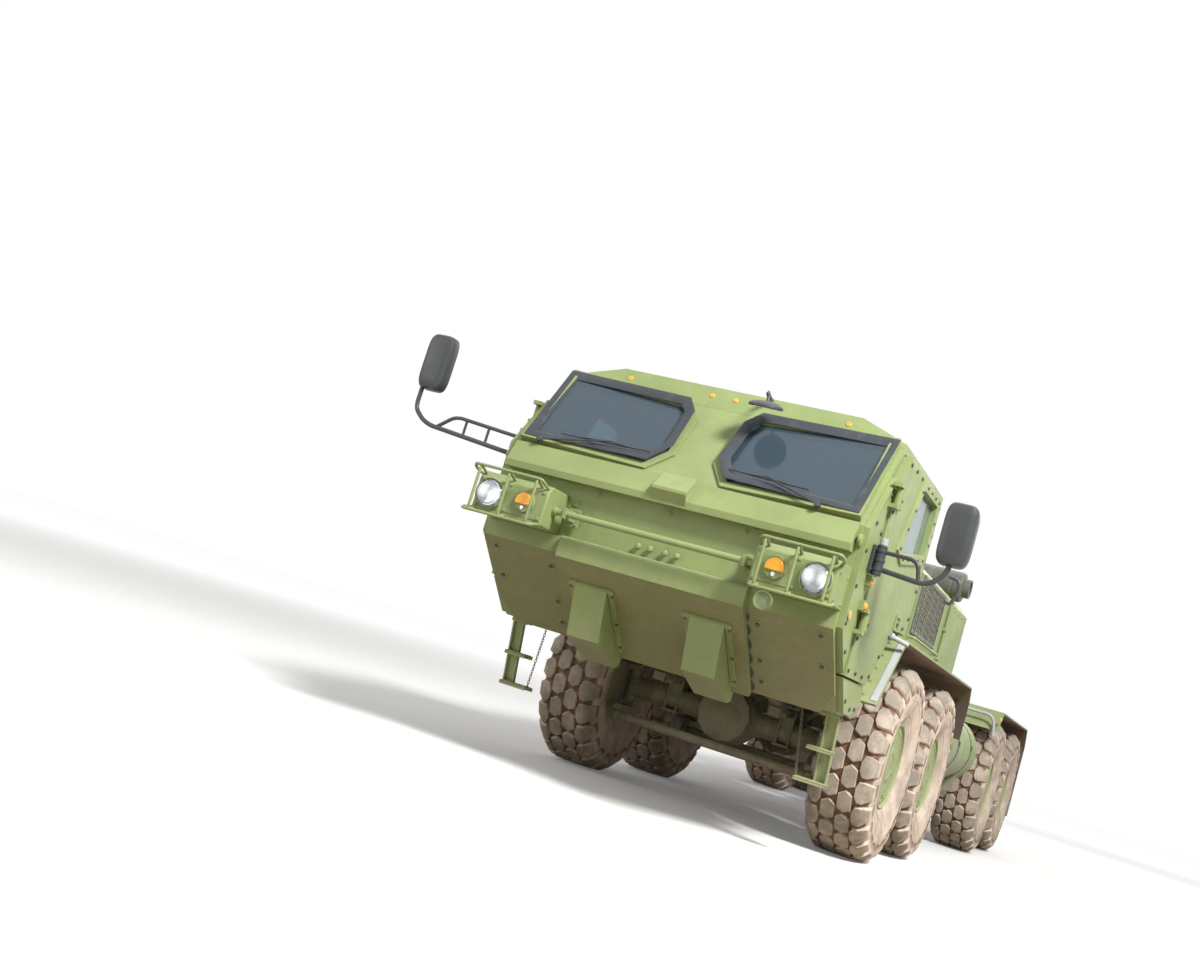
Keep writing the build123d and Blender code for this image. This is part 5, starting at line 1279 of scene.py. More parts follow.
# Mirrors
MIRROR_Y = AXLE_1 - 2.020
MIRROR_MOUNT = PLATE_X + 0.045
MIRROR_CASES = ((1, 1.745, 0.374, 1.984, 0.180, 0.354), (-1, 1.880, 0.752, 2.296, 0.192, 0.374))
MIRROR_ARMS = (
    (1, 0.015, ((0, 1.700), (0.255, 1.678), (0.305, 1.694), (0.356, 1.742), (0.374, 1.790), (0.374, 1.860))),
    (1, 0.012, ((0, 1.797), (0.178, 1.795), (0.213, 1.774), (0.237, 1.681))),
    (-1, 0.015, ((0, 1.828), (0.665, 1.886), (0.732, 1.912), (0.794, 1.966), (0.807, 2.010), (0.807, 2.150))),
    (-1, 0.012, ((0, 1.943), (0.460, 1.976), (0.510, 1.966), (0.617, 1.882))),
    (-1, 0.009, ((0.237, 1.850), (0.237, 1.960))),
    (-1, 0.009, ((0.407, 1.864), (0.407, 1.972))),
    (1, 0.009, ((0.388, 1.751), (0.452, 1.743), (0.452, 1.667), (0.430, 1.605), (0.396, 1.618))),
)
MIRROR_SQUARENESS = 0.42


def mirror_case(width, height):
    """A mirror head facing backwards: squarish rounds that shrink towards the front, and its glass."""

    def upright(half_width, half_height, depth):
        """One squarish round in the x and z plane, at a depth."""
        ring = superellipse(half_width, half_height, MIRROR_SQUARENESS)
        return np.column_stack([ring[:, 0], np.full(len(ring), depth), ring[:, 1]])

    depths = ((-0.0475, 0.46), (-0.0440, 0.70), (-0.034, 0.90), (-0.016, 0.985), (0.020, 1.0), (0.0475, 1.0))
    case = [upright(width / 2 * share, height / 2 * (0.4 + 0.6 * share), depth) for depth, share in depths]
    glass = [upright(width / 2 - 0.012, height / 2 - 0.012, depth) for depth in (0.040, 0.0482)]
    return skin(case), skin(glass)


def make_mirrors():
    """The rear-view mirrors on bent tubes and clamps, and the round look-down mirror under the visor."""
    post = turned([(-0.085, 0.001), (-0.085, 0.026), (-0.081, 0.030), (0.081, 0.030), (0.085, 0.026),
                   (0.085, 0.001)], 24)
    ring = put(collar(0.0, 0.008, 0.029, 0.034, 24), *[shift(0, 0, lift) for lift in (-0.052, 0.0, 0.052)])
    foot = plate(((-0.045, -0.075), (0.045, -0.075), (0.045, 0.075), (-0.045, 0.075)), -0.001, 0.020, 0.004)
    corners = [shift(across, up, 0.020) for across in (-0.034, 0.034) for up in (-0.06, 0.06)]
    foot = join(foot, bolts(0.007, 0.006, corners))
    cases, panes, arms, mounts, caps = [], [], [], [], []
    for side, clamp_z, out, z, width, height in MIRROR_CASES:
        case, glass = mirror_case(width, height)
        place = shift(side * (MIRROR_MOUNT + out), MIRROR_Y, z)
        clamp = shift(side * MIRROR_MOUNT, MIRROR_Y, clamp_z)
        cases.append(put(case, place))
        panes.append(put(glass, place))
        mounts.append(put(join(post, ring), clamp))
        mounts.append(put(foot, on_side(PLATE_X, MIRROR_Y, clamp_z, side)))
        caps.append(put(disc(0.022, 0.084, 0.125, 20, 0.003), clamp))
    for side, radius, route in MIRROR_ARMS:
        arms.append(tube([(side * (MIRROR_MOUNT + out), MIRROR_Y, z) for out, z in route], radius, 0.05, 14))
    spot = stand((0.293, AXLE_1 - 2.000, 2.470), (0, 0.22, -0.975), (0, 1, 0))
    bowl = turned([(-0.030, 0.001), (-0.028, 0.040), (-0.020, 0.080), (-0.006, 0.102), (0.006, 0.105),
                   (0.012, 0.102), (0.012, 0.001)], 40)
    cases.append(put(bowl, spot))
    panes.append(put(disc(0.096, 0.008, 0.0145, 40), spot))
    reach = [(0.215, AXLE_1 - 1.700, 2.575), (0.235, AXLE_1 - 1.860, 2.590), (0.290, AXLE_1 - 1.985, 2.545),
             (0.293, AXLE_1 - 1.996, 2.490)]
    gusset = [(AXLE_1 - 1.690, 2.590), (AXLE_1 - 1.690, 2.520), (AXLE_1 - 1.820, 2.592)]
    arms += [tube(reach, 0.009, 0.04), side_plate(gusset, 0.205, 0.225)]
    parts = (
        ("mirror_cases", "black_paint", black_paint, cases),
        ("mirror_glass", "black_paint", bright_metal, panes),
        ("mirror_arms", "black_paint", black_paint, arms),
        ("mirror_mounts", "black_paint", black_paint, mounts),
        ("mirror_caps", "grey_metal", grey_paint, caps),
    )
    for name, slot, finish, shapes in parts:
        piece(name, "chassis", slot, finish(), *shapes, replaces=("mirrors",))


def make_ladders():
    """Boarding ladders: flat stiles, ribbed treads with turned-down lips, head block, bolts and chain."""
    (top, top_z), (foot, foot_z) = (AXLE_1 - 1.522, 0.877), (AXLE_1 - 1.407, 0.446)
    shapes = []
    stiles = ((-0.016, 1.020, 1.032, 0.002), (-0.016, 1.088, 1.100, 0.002), (0.006, 1.030, 1.090, 0.001))
    for back, near, far, chamfer in stiles:
        outline = ((top + back, top_z), (top + 0.016, top_z), (foot + 0.016, foot_z), (foot + back, foot_z))
        shapes.append(side_plate(outline, near, far, chamfer))
    for z, y, width in ((0.640, AXLE_1 - 1.460, 0.150), (0.446, foot, 0.190)):
        near, far = CAB_HALF - width, CAB_HALF
        shapes.append(brick((near, far), (y - 0.060, y + 0.060), (z + 0.014, z + 0.024)))
        shapes.append(brick((near, far), (y - 0.060, y - 0.052), (z, z + 0.020)))
        shapes.append(brick((near, far), (y + 0.052, y + 0.060), (z, z + 0.020)))
        for rib in y + np.linspace(-0.042, 0.042, 6):
            x = (near + 0.006, far - 0.006)
            shapes.append(brick(x, (rib - 0.003, rib + 0.003), (z + 0.022, z + 0.0275), 0.001))
    shapes.append(brick((0.980, CAB_HALF), (top - 0.030, top + 0.030), (0.853, 0.877)))
    heads = [stand((x, top - 0.018, 0.853), (0, 0, -1), (0, 1, 0)) for x in (0.996, 1.010)]
    for y, z in ((-1.511, 0.835), (-1.462, 0.652), (-1.411, 0.462)):
        heads.append(on_side(CAB_HALF, AXLE_1 + y, z))
    shapes.append(bolts(0.008, 0.005, heads))
    t = np.linspace(0, 2 * pi, 13)
    link = tube(np.column_stack([0.007 * np.cos(t), 0.012 * np.sin(t), 0 * t]), 0.0021, sides=6)
    start, end = np.array((0.865, AXLE_1 - 1.510, 0.872)), np.array((0.915, AXLE_1 - 1.430, 0.470))
    run = [start + (end - start) * share for share in np.linspace(0, 1, 24)]
    places = [stand(point, ((1, 0, 0), (0, -1, 0))[number % 2]) for number, point in enumerate(run)]
    chains = both(put(link, *places))
    piece("ladder_frames", "chassis", "hull_paint", green_paint(), both(join(*shapes)), replaces=("ladders",))
    piece("ladder_chains", "chassis", "grey_metal", dull_grey(), chains, replaces=("ladders",))


# Doors, grilles and the housing
DOOR_LINE = ((-1.915, 1.09), (-1.340, 1.09), (-0.980, 1.485), (-0.620, 1.485), (-0.620, 2.405),
             (-1.740, 2.405), (-1.915, 2.17))
WINDOW_LINE = ((-1.445, 1.930), (-1.360, 1.900), (-0.765, 2.000), (-0.765, 2.325), (-1.250, 2.325))
LATCH_LINE = ((-1.035, 1.475), (-0.900, 1.475), (-0.900, 1.570), (-1.035, 1.570))
WINDOW_RIM_X = 1.164
STRAP_X = 1.172


def make_doors():
    """On each door: bolts along its edge, window rim and hinge straps, a latch recess and a handle."""
    sizes, _ = settings()
    edge = spaced(inset(np.array(DOOR_LINE), 0.034), sizes.bolt_gap * 1.5, closed=True)
    rim = spaced(inset(np.array(WINDOW_LINE), -0.031), sizes.bolt_gap * 1.15, closed=True)
    straps = [(y, z) for z in HINGE_HEIGHTS for y in (-1.880, -1.815)]
    rows = (
        (sizes.bolt_radius, 0.009, DOOR_X, edge),
        (0.010, 0.007, WINDOW_RIM_X, rim),
        (0.009, 0.006, STRAP_X, straps),
    )
    handle = [(0.0, 0.001), (0.0, 0.024), (0.018, 0.024), (0.022, 0.016), (0.118, 0.016), (0.122, 0.012),
              (0.122, 0.001)]
    for name, side in SIDES:
        heads = []
        for radius, height, x, spots in rows:
            heads.append(bolts(radius, height, [on_side(x, AXLE_1 + y, z, side) for y, z in spots]))
        dish = [(AXLE_1 + y, z) for y, z in LATCH_LINE]
        latch = put(band(dish, 0.012, side * DOOR_X, side * (DOOR_X + 0.008)), SIDE_VIEW)
        foot = np.array((side * (DOOR_X - 0.010), AXLE_1 - 0.979, 1.440))
        pull = drum(foot, foot + (side * 0.93, 0.28, -0.22), handle, 24)
        # Door bolt heads in the nearly black of painted shade
        piece(f"door_bolts_{name}", f"door_{name}", "grey_metal", shade_black_bolt_paint(), *heads)
        piece(f"door_latch_{name}", f"door_{name}", "hull_paint", green_paint(), latch)
        piece(f"door_handle_{name}", f"door_{name}", "grey_metal", grey_paint(), pull)


def mesh_strands(low, high, cell, lift):
    """Diamond mesh: thin bars on two families of slanting lines, each clipped to a rectangle."""
    (y0, z0), (y1, z1) = low, high
    bars = []
    for slope in (0.58, -0.58):
        span = abs(slope) * (y1 - y0)
        starts = np.arange(z0 - (span if slope > 0 else 0), z1 + (0 if slope > 0 else span), cell)
        for start in starts:
            crossings = sorted(((z0 - start) / slope, (z1 - start) / slope))
            a, b = max(0.0, crossings[0]), min(y1 - y0, crossings[1])
            if b - a < 0.004:
                continue
            near, far = np.array((y0 + a, start + slope * a)), np.array((y0 + b, start + slope * b))
            run = far - near
            across = np.array((-run[1], run[0])) / np.linalg.norm(run) * 0.0048
            corners = (near - across, far - across, far + across, near + across)
            bars.append(side_plate(corners, lift, lift + 0.0035, 0.0008))
    return join(*bars)


def make_grilles():
    """Mesh over the side grilles, grab bars, upright rods, louvres and the housing's bolts."""
    mesh = mesh_strands((AXLE_1 - 0.244, 1.576), (AXLE_1 + 0.664, 1.924), 0.046, 1.1070)
    low, high = AXLE_1 - 0.290, AXLE_1 + 0.700
    bar = [(1.110, low, 1.520), (1.150, low, 1.520), (1.150, high, 1.520), (1.110, high, 1.520)]
    bar = tube(bar, 0.010, 0.03, 12)
    post = AXLE_1 + 0.940
    rod = tube([(1.118, post, 1.452), (1.118, post, 1.990)], 0.011, sides=12)
    clips = [brick((1.100, 1.132), (post - 0.018, post + 0.018), (z, z + 0.022)) for z in (1.50, 1.72, 1.94)]
    low, high = AXLE_1 - 0.257, AXLE_1 + 0.677
    edge = spaced([(low, 1.563), (high, 1.563), (high, 1.937), (low, 1.937)], 0.155, closed=True)
    heads = bolts(0.0075, 0.005, [on_side(1.115, y, z) for y, z in edge], 0.012)
    rows = np.linspace(AXLE_1 - 0.25, AXLE_1 + 1.78, 9)
    tops = bolts(0.010, 0.007, [shift(x, y, 2.010) for x in (-0.98, -0.33, 0.33, 0.98) for y in rows], 0.016)
    louvres = []
    for x in (-0.55, 0.55):
        for y in np.linspace(AXLE_1 + 0.15, AXLE_1 + 1.05, 12):
            wedge = [(y, 2.006), (y + 0.052, 2.006), (y + 0.052, 2.026)]
            louvres.append(side_plate(wedge, x - 0.24, x + 0.24, 0.001))
    rows = np.linspace(AXLE_1 + 1.05, AXLE_1 + 1.80, 5)
    panel = bolts(0.009, 0.006, [on_side(HOUSING_X, y, z) for y in rows for z in (1.49, 1.92)], 0.015)
    piece("grille_mesh", "chassis", "grey_metal", mesh_paint(), both(mesh))
    piece("housing_rails", "chassis", "hull_paint", green_paint(), both(join(bar, rod, *clips, heads)))
    piece("housing_details", "chassis", "hull_paint", green_paint(), tops, *louvres, both(panel))


def make_air_cleaner():
    """The air cleaner: a ribbed drum with an open inlet, saddle bands, feet and an outlet pipe."""
    profile = [
        (0.300, 0.001), (0.300, 0.104), (0.306, 0.114), (0.318, 0.119), (0.420, 0.119), (0.424, 0.114),
        (0.436, 0.114), (0.440, 0.119), (0.660, 0.119), (0.664, 0.114), (0.676, 0.114), (0.680, 0.119),
        (0.990, 0.119), (0.994, 0.1155), (1.006, 0.1155), (1.010, 0.119), (1.062, 0.119), (1.076, 0.110),
        (1.080, 0.098), (1.080, 0.076), (1.130, 0.075), (1.130, 0.062), (1.050, 0.060), (1.050, 0.001),
    ]
    middle = AXLE_1 + 1.500
    along = stand((0, middle, 2.142), (1, 0, 0), (0, 0, 1))
    saddle = ((-0.105, 2.008), (0.105, 2.008), (0.096, 2.100), (0.060, 2.052), (0.0, 2.028), (-0.060, 2.052),
              (-0.096, 2.100))
    saddle = [(middle + y, z) for y, z in saddle]
    mounts = []
    for x in (0.450, 0.900):
        mounts.append(put(collar(x, 0.016, 0.1185, 0.1235, 56), along))
        mounts.append(side_plate(saddle, x - 0.024, x + 0.024, 0.002))
    outlet = [(0.320, middle, 2.142), (0.240, middle, 2.142), (0.215, middle - 0.010, 2.110),
              (0.215, middle - 0.020, 2.000)]
    piece("air_filter", "chassis", "grey_metal", dull_grey(), put(turned(profile, 56), along), *mounts,
          tube(outlet, 0.052, 0.05, 24), replaces=("air_cleaner",))


def make_fuel_tank():
    """The fuel tank: a turned drum with rolled rims and dished ends, two dark straps and a cap on a neck."""
    x, z, front, length = 0.860, 0.935, -0.119, 1.560
    end = [(0.034, 0.001), (0.020, 0.20), (0.004, 0.272), (0.000, 0.290), (0.003, 0.300), (0.012, 0.305),
           (0.024, 0.302), (0.030, 0.2995)]
    rear_end = [(length - along, radius) for along, radius in reversed(end)]
    profile = [end[0], (0.030, 0.10), *end[1:], *rear_end]
    neck = turned([(0.285, 0.001), (0.285, 0.046), (0.300, 0.046), (0.316, 0.040), (0.328, 0.052),
                   (0.346, 0.052), (0.352, 0.044), (0.352, 0.001)], 28)
    seam = turned([(0.770, 0.2990), (0.774, 0.3015), (0.786, 0.3015), (0.790, 0.2990)], 72, loop=True)
    place = stand((x, front, z), (0, 1, 0), (0, 0, 1))
    tilt = stand((x, front + 0.280, z), (0.62, 0, 0.78), (0, 1, 0))
    straps = []
    for along in (0.38, 1.18):
        straps.append(put(collar(along, 0.024, 0.2990, 0.3035, 72), place))
        y = front + along
        straps.append(brick((1.140, 1.166), (y - 0.020, y + 0.020), (0.960, 1.010), 0.003))
    shell = put(join(turned(profile, 72), seam), place)
    neck = put(neck, tilt @ shift(0, 0, -0.010))
    piece("fuel_drum", "chassis", "hull_paint", green_paint(), shell, neck, replaces=("fuel_tank",))
    piece("tank_straps", "chassis", "black_paint", black_paint(), *straps)


def make_fenders():
    """Light strips on the front fenders' slopes, rows of bolts, and grey bent tubes at the rear fenders."""
    start = np.array((AXLE_1 - 1.262, 1.000))
    run = np.array((0.428, 0.450))
    normal = np.array((-run[1], run[0])) / np.linalg.norm(run)
    low, high = start + run * 0.04, start + run * 0.97
    tubes = [side_plate([low, high, high + normal * 0.004, low + normal * 0.004], 1.176, 1.218, 0.0008)]
    heads = []
    for share in np.linspace(0.1, 0.9, 5):
        y, z = start + run * share + normal * 0.001
        heads.append(stand((1.125, y, z), (0, *normal), (0, *run)))
    heads += [shift(1.165, y, 1.450) for y in np.linspace(AXLE_1 - 0.70, AXLE_1 + 2.20, 14)]
    heads += [shift(1.165, y, 1.440) for y in np.linspace(AXLE_1 + 5.0, AXLE_1 + 7.3, 10)]
    for y, low, foot in ((AXLES[2][1] - 0.662, 1.100, 1.110), (AXLES[3][1] + 0.722, 1.120, 1.128)):
        hoop = [(0.600, y, low), (0.620, y, 1.380), (1.160, y, 1.380), (1.190, y, low + 0.080)]
        tubes.append(tube(hoop, 0.016, 0.09, 14))
        tubes.append(tube([(0.600, y, foot), (0.456, y, foot)], 0.016, sides=14))
    piece("fender_bolts", "chassis", "hull_paint", green_paint(), both(bolts(0.009, 0.006, heads, 0.015)))
    piece("fender_tubes", "chassis", "grey_metal", grey_paint(), both(join(*tubes)))


# Seats
SEAT_X = 0.620
SEAT_Y = AXLE_1 - 0.8775
SEAT_LEAN = radians(8)
CUSHION_POWER = 0.42


def cushion(half_x, half_y, half_z, crown):
    """A stuffed cushion: a superellipse outline swept over a dome, pinched along two sewn channels.

    Up from the seam the outline shrinks as the cosine and the height grows as the sine of one angle, both to
    small powers, and the top bulges by the crown times one minus the squares of x and y.
    """
    edge_x, edge_y = superellipse(1.0, 1.0, CUSHION_POWER, 72).T
    rings = []
    for v in np.linspace(-pi / 2, pi / 2, 25)[1:-1]:
        up = max(0.0, np.sin(v))
        lift = np.sign(np.sin(v)) * np.abs(np.sin(v)) ** 0.62
        x, y = edge_x * np.cos(v) ** 0.36, edge_y * np.cos(v) ** 0.36
        bulge = crown * (1 - x**2) * (1 - y**2) * up
        pinch = 0.014 * sum(np.exp(-((x - at) / 0.055) ** 2) for at in (-0.52, 0.52)) * up**0.5
        rings.append(np.column_stack([x * half_x, y * half_y, lift * half_z + bulge - pinch]))
    return skin(rings)


def piping(half_x, half_y):
    """The corded seam round a cushion's middle."""
    route = level(superellipse(half_x, half_y, CUSHION_POWER, 73), 0.0)
    return tube(np.vstack([route, route[:1]]), 0.0055, sides=6)


def make_seats():
    """Two seats: crowned base and back cushions with corded seams, a headrest, and a boxed pedestal."""
    base = shift(SEAT_X, SEAT_Y, 1.640)
    facing = (0, -cos(SEAT_LEAN), sin(SEAT_LEAN))
    back = stand((SEAT_X, AXLE_1 - 0.525, 1.925), facing)
    head = stand((SEAT_X, AXLE_1 - 0.475, 2.170), facing)
    cushions = join(
        put(join(cushion(0.236, 0.235, 0.050, 0.020), piping(0.237, 0.236)), base),
        put(join(cushion(0.232, 0.215, 0.044, 0.018), piping(0.233, 0.216)), back),
        put(cushion(0.130, 0.062, 0.040, 0.010), head),
    )
    made = piece(
        "seat_cushions", "chassis", "seat_fabric", seat_cloth(), both(cushions), replaces=("seats",),
        smooth=50,
    )
    frame_side = ((-0.600, 1.480), (-0.480, 1.480), (-0.400, 2.225), (-0.430, 2.225), (-0.500, 1.700))
    frame_side = [(AXLE_1 + y, z) for y, z in frame_side]
    pedestal = join(
        brick((0.420, 0.820), (SEAT_Y - 0.200, SEAT_Y + 0.200), (1.478, 1.590), 0.006),
        brick((0.392, 0.848), (SEAT_Y - 0.222, SEAT_Y + 0.222), (1.584, 1.600), 0.003),
        side_plate(frame_side, 0.410, 0.440, 0.004),
        side_plate(frame_side, 0.800, 0.830, 0.004),
        brick((0.410, 0.830), (AXLE_1 - 0.490, AXLE_1 - 0.440), (1.760, 1.790), 0.003),
        brick((0.410, 0.830), (AXLE_1 - 0.440, AXLE_1 - 0.405), (2.150, 2.180), 0.003),
    )
    piece("seat_stands", "chassis", "black_paint", black_paint(), both(pedestal), replaces=("seats",))


# Running gear
def make_axles():
    """Axle tubes with differential housings, U-bolts round the springs and clips on the leaves."""
    castings, springs = [], []
    half = [(0.0, 0.001), (0.0, 0.190), (0.060, 0.190), (0.115, 0.176), (0.150, 0.150), (0.180, 0.108),
            (0.215, 0.084), (0.420, 0.078), (0.540, 0.078), (0.560, 0.084), (0.600, 0.084), (0.610, 0.078),
            (0.690, 0.078), (0.690, 0.001)]
    cover = [(0.0, 0.001), (0.0, 0.150), (0.140, 0.150), (0.176, 0.130), (0.190, 0.090), (0.194, 0.001)]
    angles = np.linspace(0, 2 * pi, 12, endpoint=False)
    low, high = HUB_Z - 0.085, HUB_Z + 0.165
    for _, y in AXLES:
        castings.append(both(drum((0, y, HUB_Z), (1, y, HUB_Z), half)))
        castings.append(drum((0, y, HUB_Z), (0, y + 1, HUB_Z), cover))
        ring = [(0.136 * cos(a), y + 0.150, HUB_Z + 0.136 * sin(a)) for a in angles]
        castings.append(bolts(0.010, 0.010, [stand(spot, (0, 1, 0)) for spot in ring]))
        for middle in (y - 0.075, y + 0.075):
            route = [(0.380, middle, low), (0.380, middle, high), (0.470, middle, high), (0.470, middle, low)]
            springs.append(tube(route, 0.010, 0.02, 8))
        springs.append(brick((0.366, 0.484), (y - 0.100, y + 0.100), (HUB_Z - 0.098, HUB_Z - 0.080), 0.003))
        for middle in (y - 0.46, y - 0.27, y + 0.27, y + 0.46):
            clip = (middle - 0.014, middle + 0.014)
            springs.append(brick((0.382, 0.468), clip, (HUB_Z + 0.094, HUB_Z + 0.152)))
    piece("axle_castings", "chassis", "chassis_paint", chassis_paint(), *castings)
    piece("spring_clamps", "chassis", "chassis_paint", chassis_paint(), both(join(*springs)))


def make_tie_rods():
    """Round tie rods with threaded clamps and ball ends, each riding on its own body."""
    ball = [(-0.034, 0.001), (-0.034, 0.026), (-0.022, 0.036), (0.0, 0.038), (0.022, 0.036), (0.034, 0.026),
            (0.034, 0.001)]
    sleeve = [(0.0, 0.001), (0.0, 0.034), (0.012, 0.036), (0.070, 0.036), (0.082, 0.034), (0.082, 0.001)]
    for number, y in AXLES[:2]:
        z, back = HUB_Z - 0.2245, y - 0.270
        shapes = [tube([(-0.690, back, z), (0.690, back, z)], 0.030, sides=24)]
        for side in (1, -1):
            shapes.append(drum((side * 0.720, back, z), (side * 0.720, back, z + 1), ball, 28))
            shapes.append(drum((side * 0.600, back, z), (side * 0.700, back, z), sleeve, 28))
        name = f"tie_rod_{number}"
        piece(f"steering_rod_{number}", name, "chassis_paint", chassis_paint(), *shapes, replaces=(name,))


def ram_barrel(x, base, eye, length, radius, pin, half, mouth):
    """A ram's barrel from pin to eye: base eye, welded bands, gland and ports."""
    start, end = np.array((x, *base)), np.array((x, *eye))
    thin, thick = radius * 0.985, radius * 1.05
    shell = [(pin + 0.022, 0.001), (pin + 0.022, radius * 0.8), (pin + 0.040, radius), (pin + 0.085, radius),
             (pin + 0.090, radius * 1.04), (pin + 0.112, radius * 1.04), (pin + 0.118, thin),
             (length - 0.130, thin), (length - 0.124, thick), (length - 0.012, thick),
             (length, radius * 0.92), (length, mouth), (length - 0.020, mouth),
             (pin + 0.090, mouth), (pin + 0.090, 0.001)]
    out = (end - start) / np.linalg.norm(end - start)
    lift = np.cross((1, 0, 0), out)
    lift = lift if lift[2] > 0 else -lift
    port = [(0, 0.001), (0, 0.020), (0.024, 0.020), (0.030, 0.015), (0.030, 0.001)]
    ports = []
    for along in (pin + 0.102, length - 0.080):
        foot = start + out * along + lift * radius * 0.9
        ports.append(drum(foot, foot + lift, port, 18))
    ring = [(0, pin + 0.001), (0, pin + 0.024), (0.004, pin + 0.028), (2 * half - 0.004, pin + 0.028),
            (2 * half, pin + 0.024), (2 * half, pin + 0.001)]
    boss = put(turned(ring, 32, loop=True), stand(start - (half, 0, 0), (1, 0, 0)))
    return join(drum(start, end, shell, 40), boss, *ports)


def make_rams():
    """The two lift rams' barrels and the arm ram's barrel, each from its base pin to its eye in y and z."""
    lift_pins, arm_pins = ((1.281, 1.300), (3.431, 1.370)), ((3.681, 1.270), (1.731, 1.060))
    main = [ram_barrel(side * 0.338, *lift_pins, 1.890, 0.060, 0.030, 0.038, 0.0415) for side in (1, -1)]
    arm = ram_barrel(0.0, *arm_pins, 1.450, 0.060, 0.025, 0.058, 0.0375)
    piece("lift_barrels", "main_barrels", "chassis_paint", chassis_paint(), *main, replaces=("main_barrels",))
    piece("arm_ram_barrel", "arm_barrel", "chassis_paint", chassis_paint(), arm, replaces=("arm_barrel",))


def make_service_boxes():
    """The right side's battery box with ribs and latches, and two strapped air tanks with domed ends."""
    front, rear = AXLE_1 + 2.480, AXLE_1 + 3.300
    x_out, x_in = -1.165, -RAIL_X
    box = [
        brick((x_out, x_in), (front, rear), (0.700, 1.120), 0.012),
        brick((x_out - 0.006, x_in), (front - 0.006, rear + 0.006), (1.122, 1.180), 0.010),
    ]
    for y in np.linspace(front + 0.12, rear - 0.12, 4):
        box.append(brick((x_out - 0.007, x_out + 0.002), (y - 0.012, y + 0.012), (0.730, 1.090), 0.003))
    for y in (front + 0.20, rear - 0.20):
        box.append(brick((x_out - 0.014, x_out), (y - 0.016, y + 0.016), (1.080, 1.150), 0.003))
    low, length = AXLE_1 + 3.390, 0.870
    end = [(0.0, 0.001), (0.006, 0.060), (0.030, 0.104), (0.062, 0.122), (0.080, 0.1245)]
    profile = [*end, *[(length - along, radius) for along, radius in reversed(end)]]
    tank = join(turned(profile, 44), *[collar(along, 0.016, 0.1235, 0.1275, 44) for along in (0.22, 0.65)])
    tanks = [put(tank, stand((x, low, 0.950), (0, 1, 0), (0, 0, 1))) for x in (-0.700, -0.980)]
    rim = [(-1.120, 0.760), (x_in, 0.760), (x_in, 1.150), (-1.120, 1.150)]
    for y in (low, low + length - 0.060):
        tanks.append(put(plate(rim, 0, 0.060, 0.004), on_front(0, y + 0.060, 0)))
    piece("battery_box", "chassis", "chassis_paint", chassis_paint(), *box, replaces=("service_boxes",))
    piece("air_tanks", "chassis", "chassis_paint", chassis_paint(), *tanks, replaces=("service_boxes",))


def make_tail():
    """Tail lamp lenses in rims, reflectors on the rear beam, and its bolts."""
    beam, lamp_y = 5.104, 5.164
    lenses, ambers, rims = [], [], []
    for side in (1, -1):
        for x, tone in ((0.385, lenses), (0.505, ambers)):
            spot = stand((side * x, lamp_y, 1.085), (0, 1, 0))
            tone.append(put(plate(superellipse(0.038, 0.038, 0.5), -0.002, 0.012, 0.004), spot))
            rims.append(put(band(superellipse(0.046, 0.046, 0.4, 40), 0.006, -0.002, 0.008), spot))
        lenses.append(put(disc(0.030, -0.001, 0.007), stand((side * 0.560, beam, 0.960), (0, 1, 0))))
    spots = [(side * x, beam, z) for side in (1, -1) for x in (0.16, 0.44, 0.59) for z in (0.90, 1.15)]
    heads = bolts(0.014, 0.011, [stand(spot, (0, 1, 0)) for spot in spots], 0.022)
    piece("tail_lenses", "chassis", "amber_lens", red_lens(), *lenses)
    piece("tail_ambers", "chassis", "amber_lens", amber_lens(), *ambers)
    piece("tail_bolts", "chassis", "chassis_paint", chassis_paint(), *rims, heads)


def make_frame_bolts():
    """Rows of bolts along the frame rails at each crossmember and spring hanger."""
    rows = (AXLE_1 - 1.500, AXLE_1 + 0.762, 2.300, 3.760, AXLES[2][1] + 0.762, AXLES[3][1] + 0.330)
    places = [on_side(RAIL_X, y + dy, z) for y in rows for dy in (-0.05, 0.05) for z in (0.98, 1.065, 1.15)]
    for _, y in AXLES:
        places += [on_side(RAIL_X, y + dy, z) for dy in (-0.66, -0.60, 0.60, 0.66) for z in (0.96, 1.02)]
    heads = both(bolts(0.014, 0.012, places, 0.023))
    piece("frame_bolts", "chassis", "chassis_paint", chassis_paint(), heads)


# Stage
CAMERA_PLACE = (2.913, -12.173, 0.792)
CAMERA_TURN = (97.281, -17.030, 22.726)
FLOOR_HALF = 60.0


def light(name, place, size, energy, target=(0.5, -3.0, 1.3)):
    """A soft square lamp that looks at a target."""
    data = bpy.data.lights.new(name, "AREA")
    data.shape, data.size, data.energy = "SQUARE", size, energy
    lamp = bpy.data.objects.new(name, data)
    bpy.context.scene.collection.objects.link(lamp)
    matrix = stand(place, np.asarray(place, float) - np.asarray(target, float), (0, 0.1, 1))
    lamp.matrix_world = Matrix(matrix.tolist())


def make_world():
    """A white world that lights the truck softly and is seen at its full strength."""
    world = bpy.data.worlds.new("studio")
    bpy.context.scene.world = world
    world.use_nodes = True
    tree = world.node_tree
    tree.nodes.clear()
    path = node(tree, "ShaderNodeLightPath").outputs
    through = maths(tree, "MAXIMUM", path["Is Glossy Ray"], path["Is Transmission Ray"])
    seen = maths(tree, "MAXIMUM", path["Is Camera Ray"], through)
    strength = ramp(tree, seen, 0.0, 1.0, 0.38, 1.0)
    sky = node(tree, "ShaderNodeBackground", {"Color": (1, 1, 1, 1), "Strength": strength})
    node(tree, "ShaderNodeOutputWorld", {0: sky.outputs[0]})


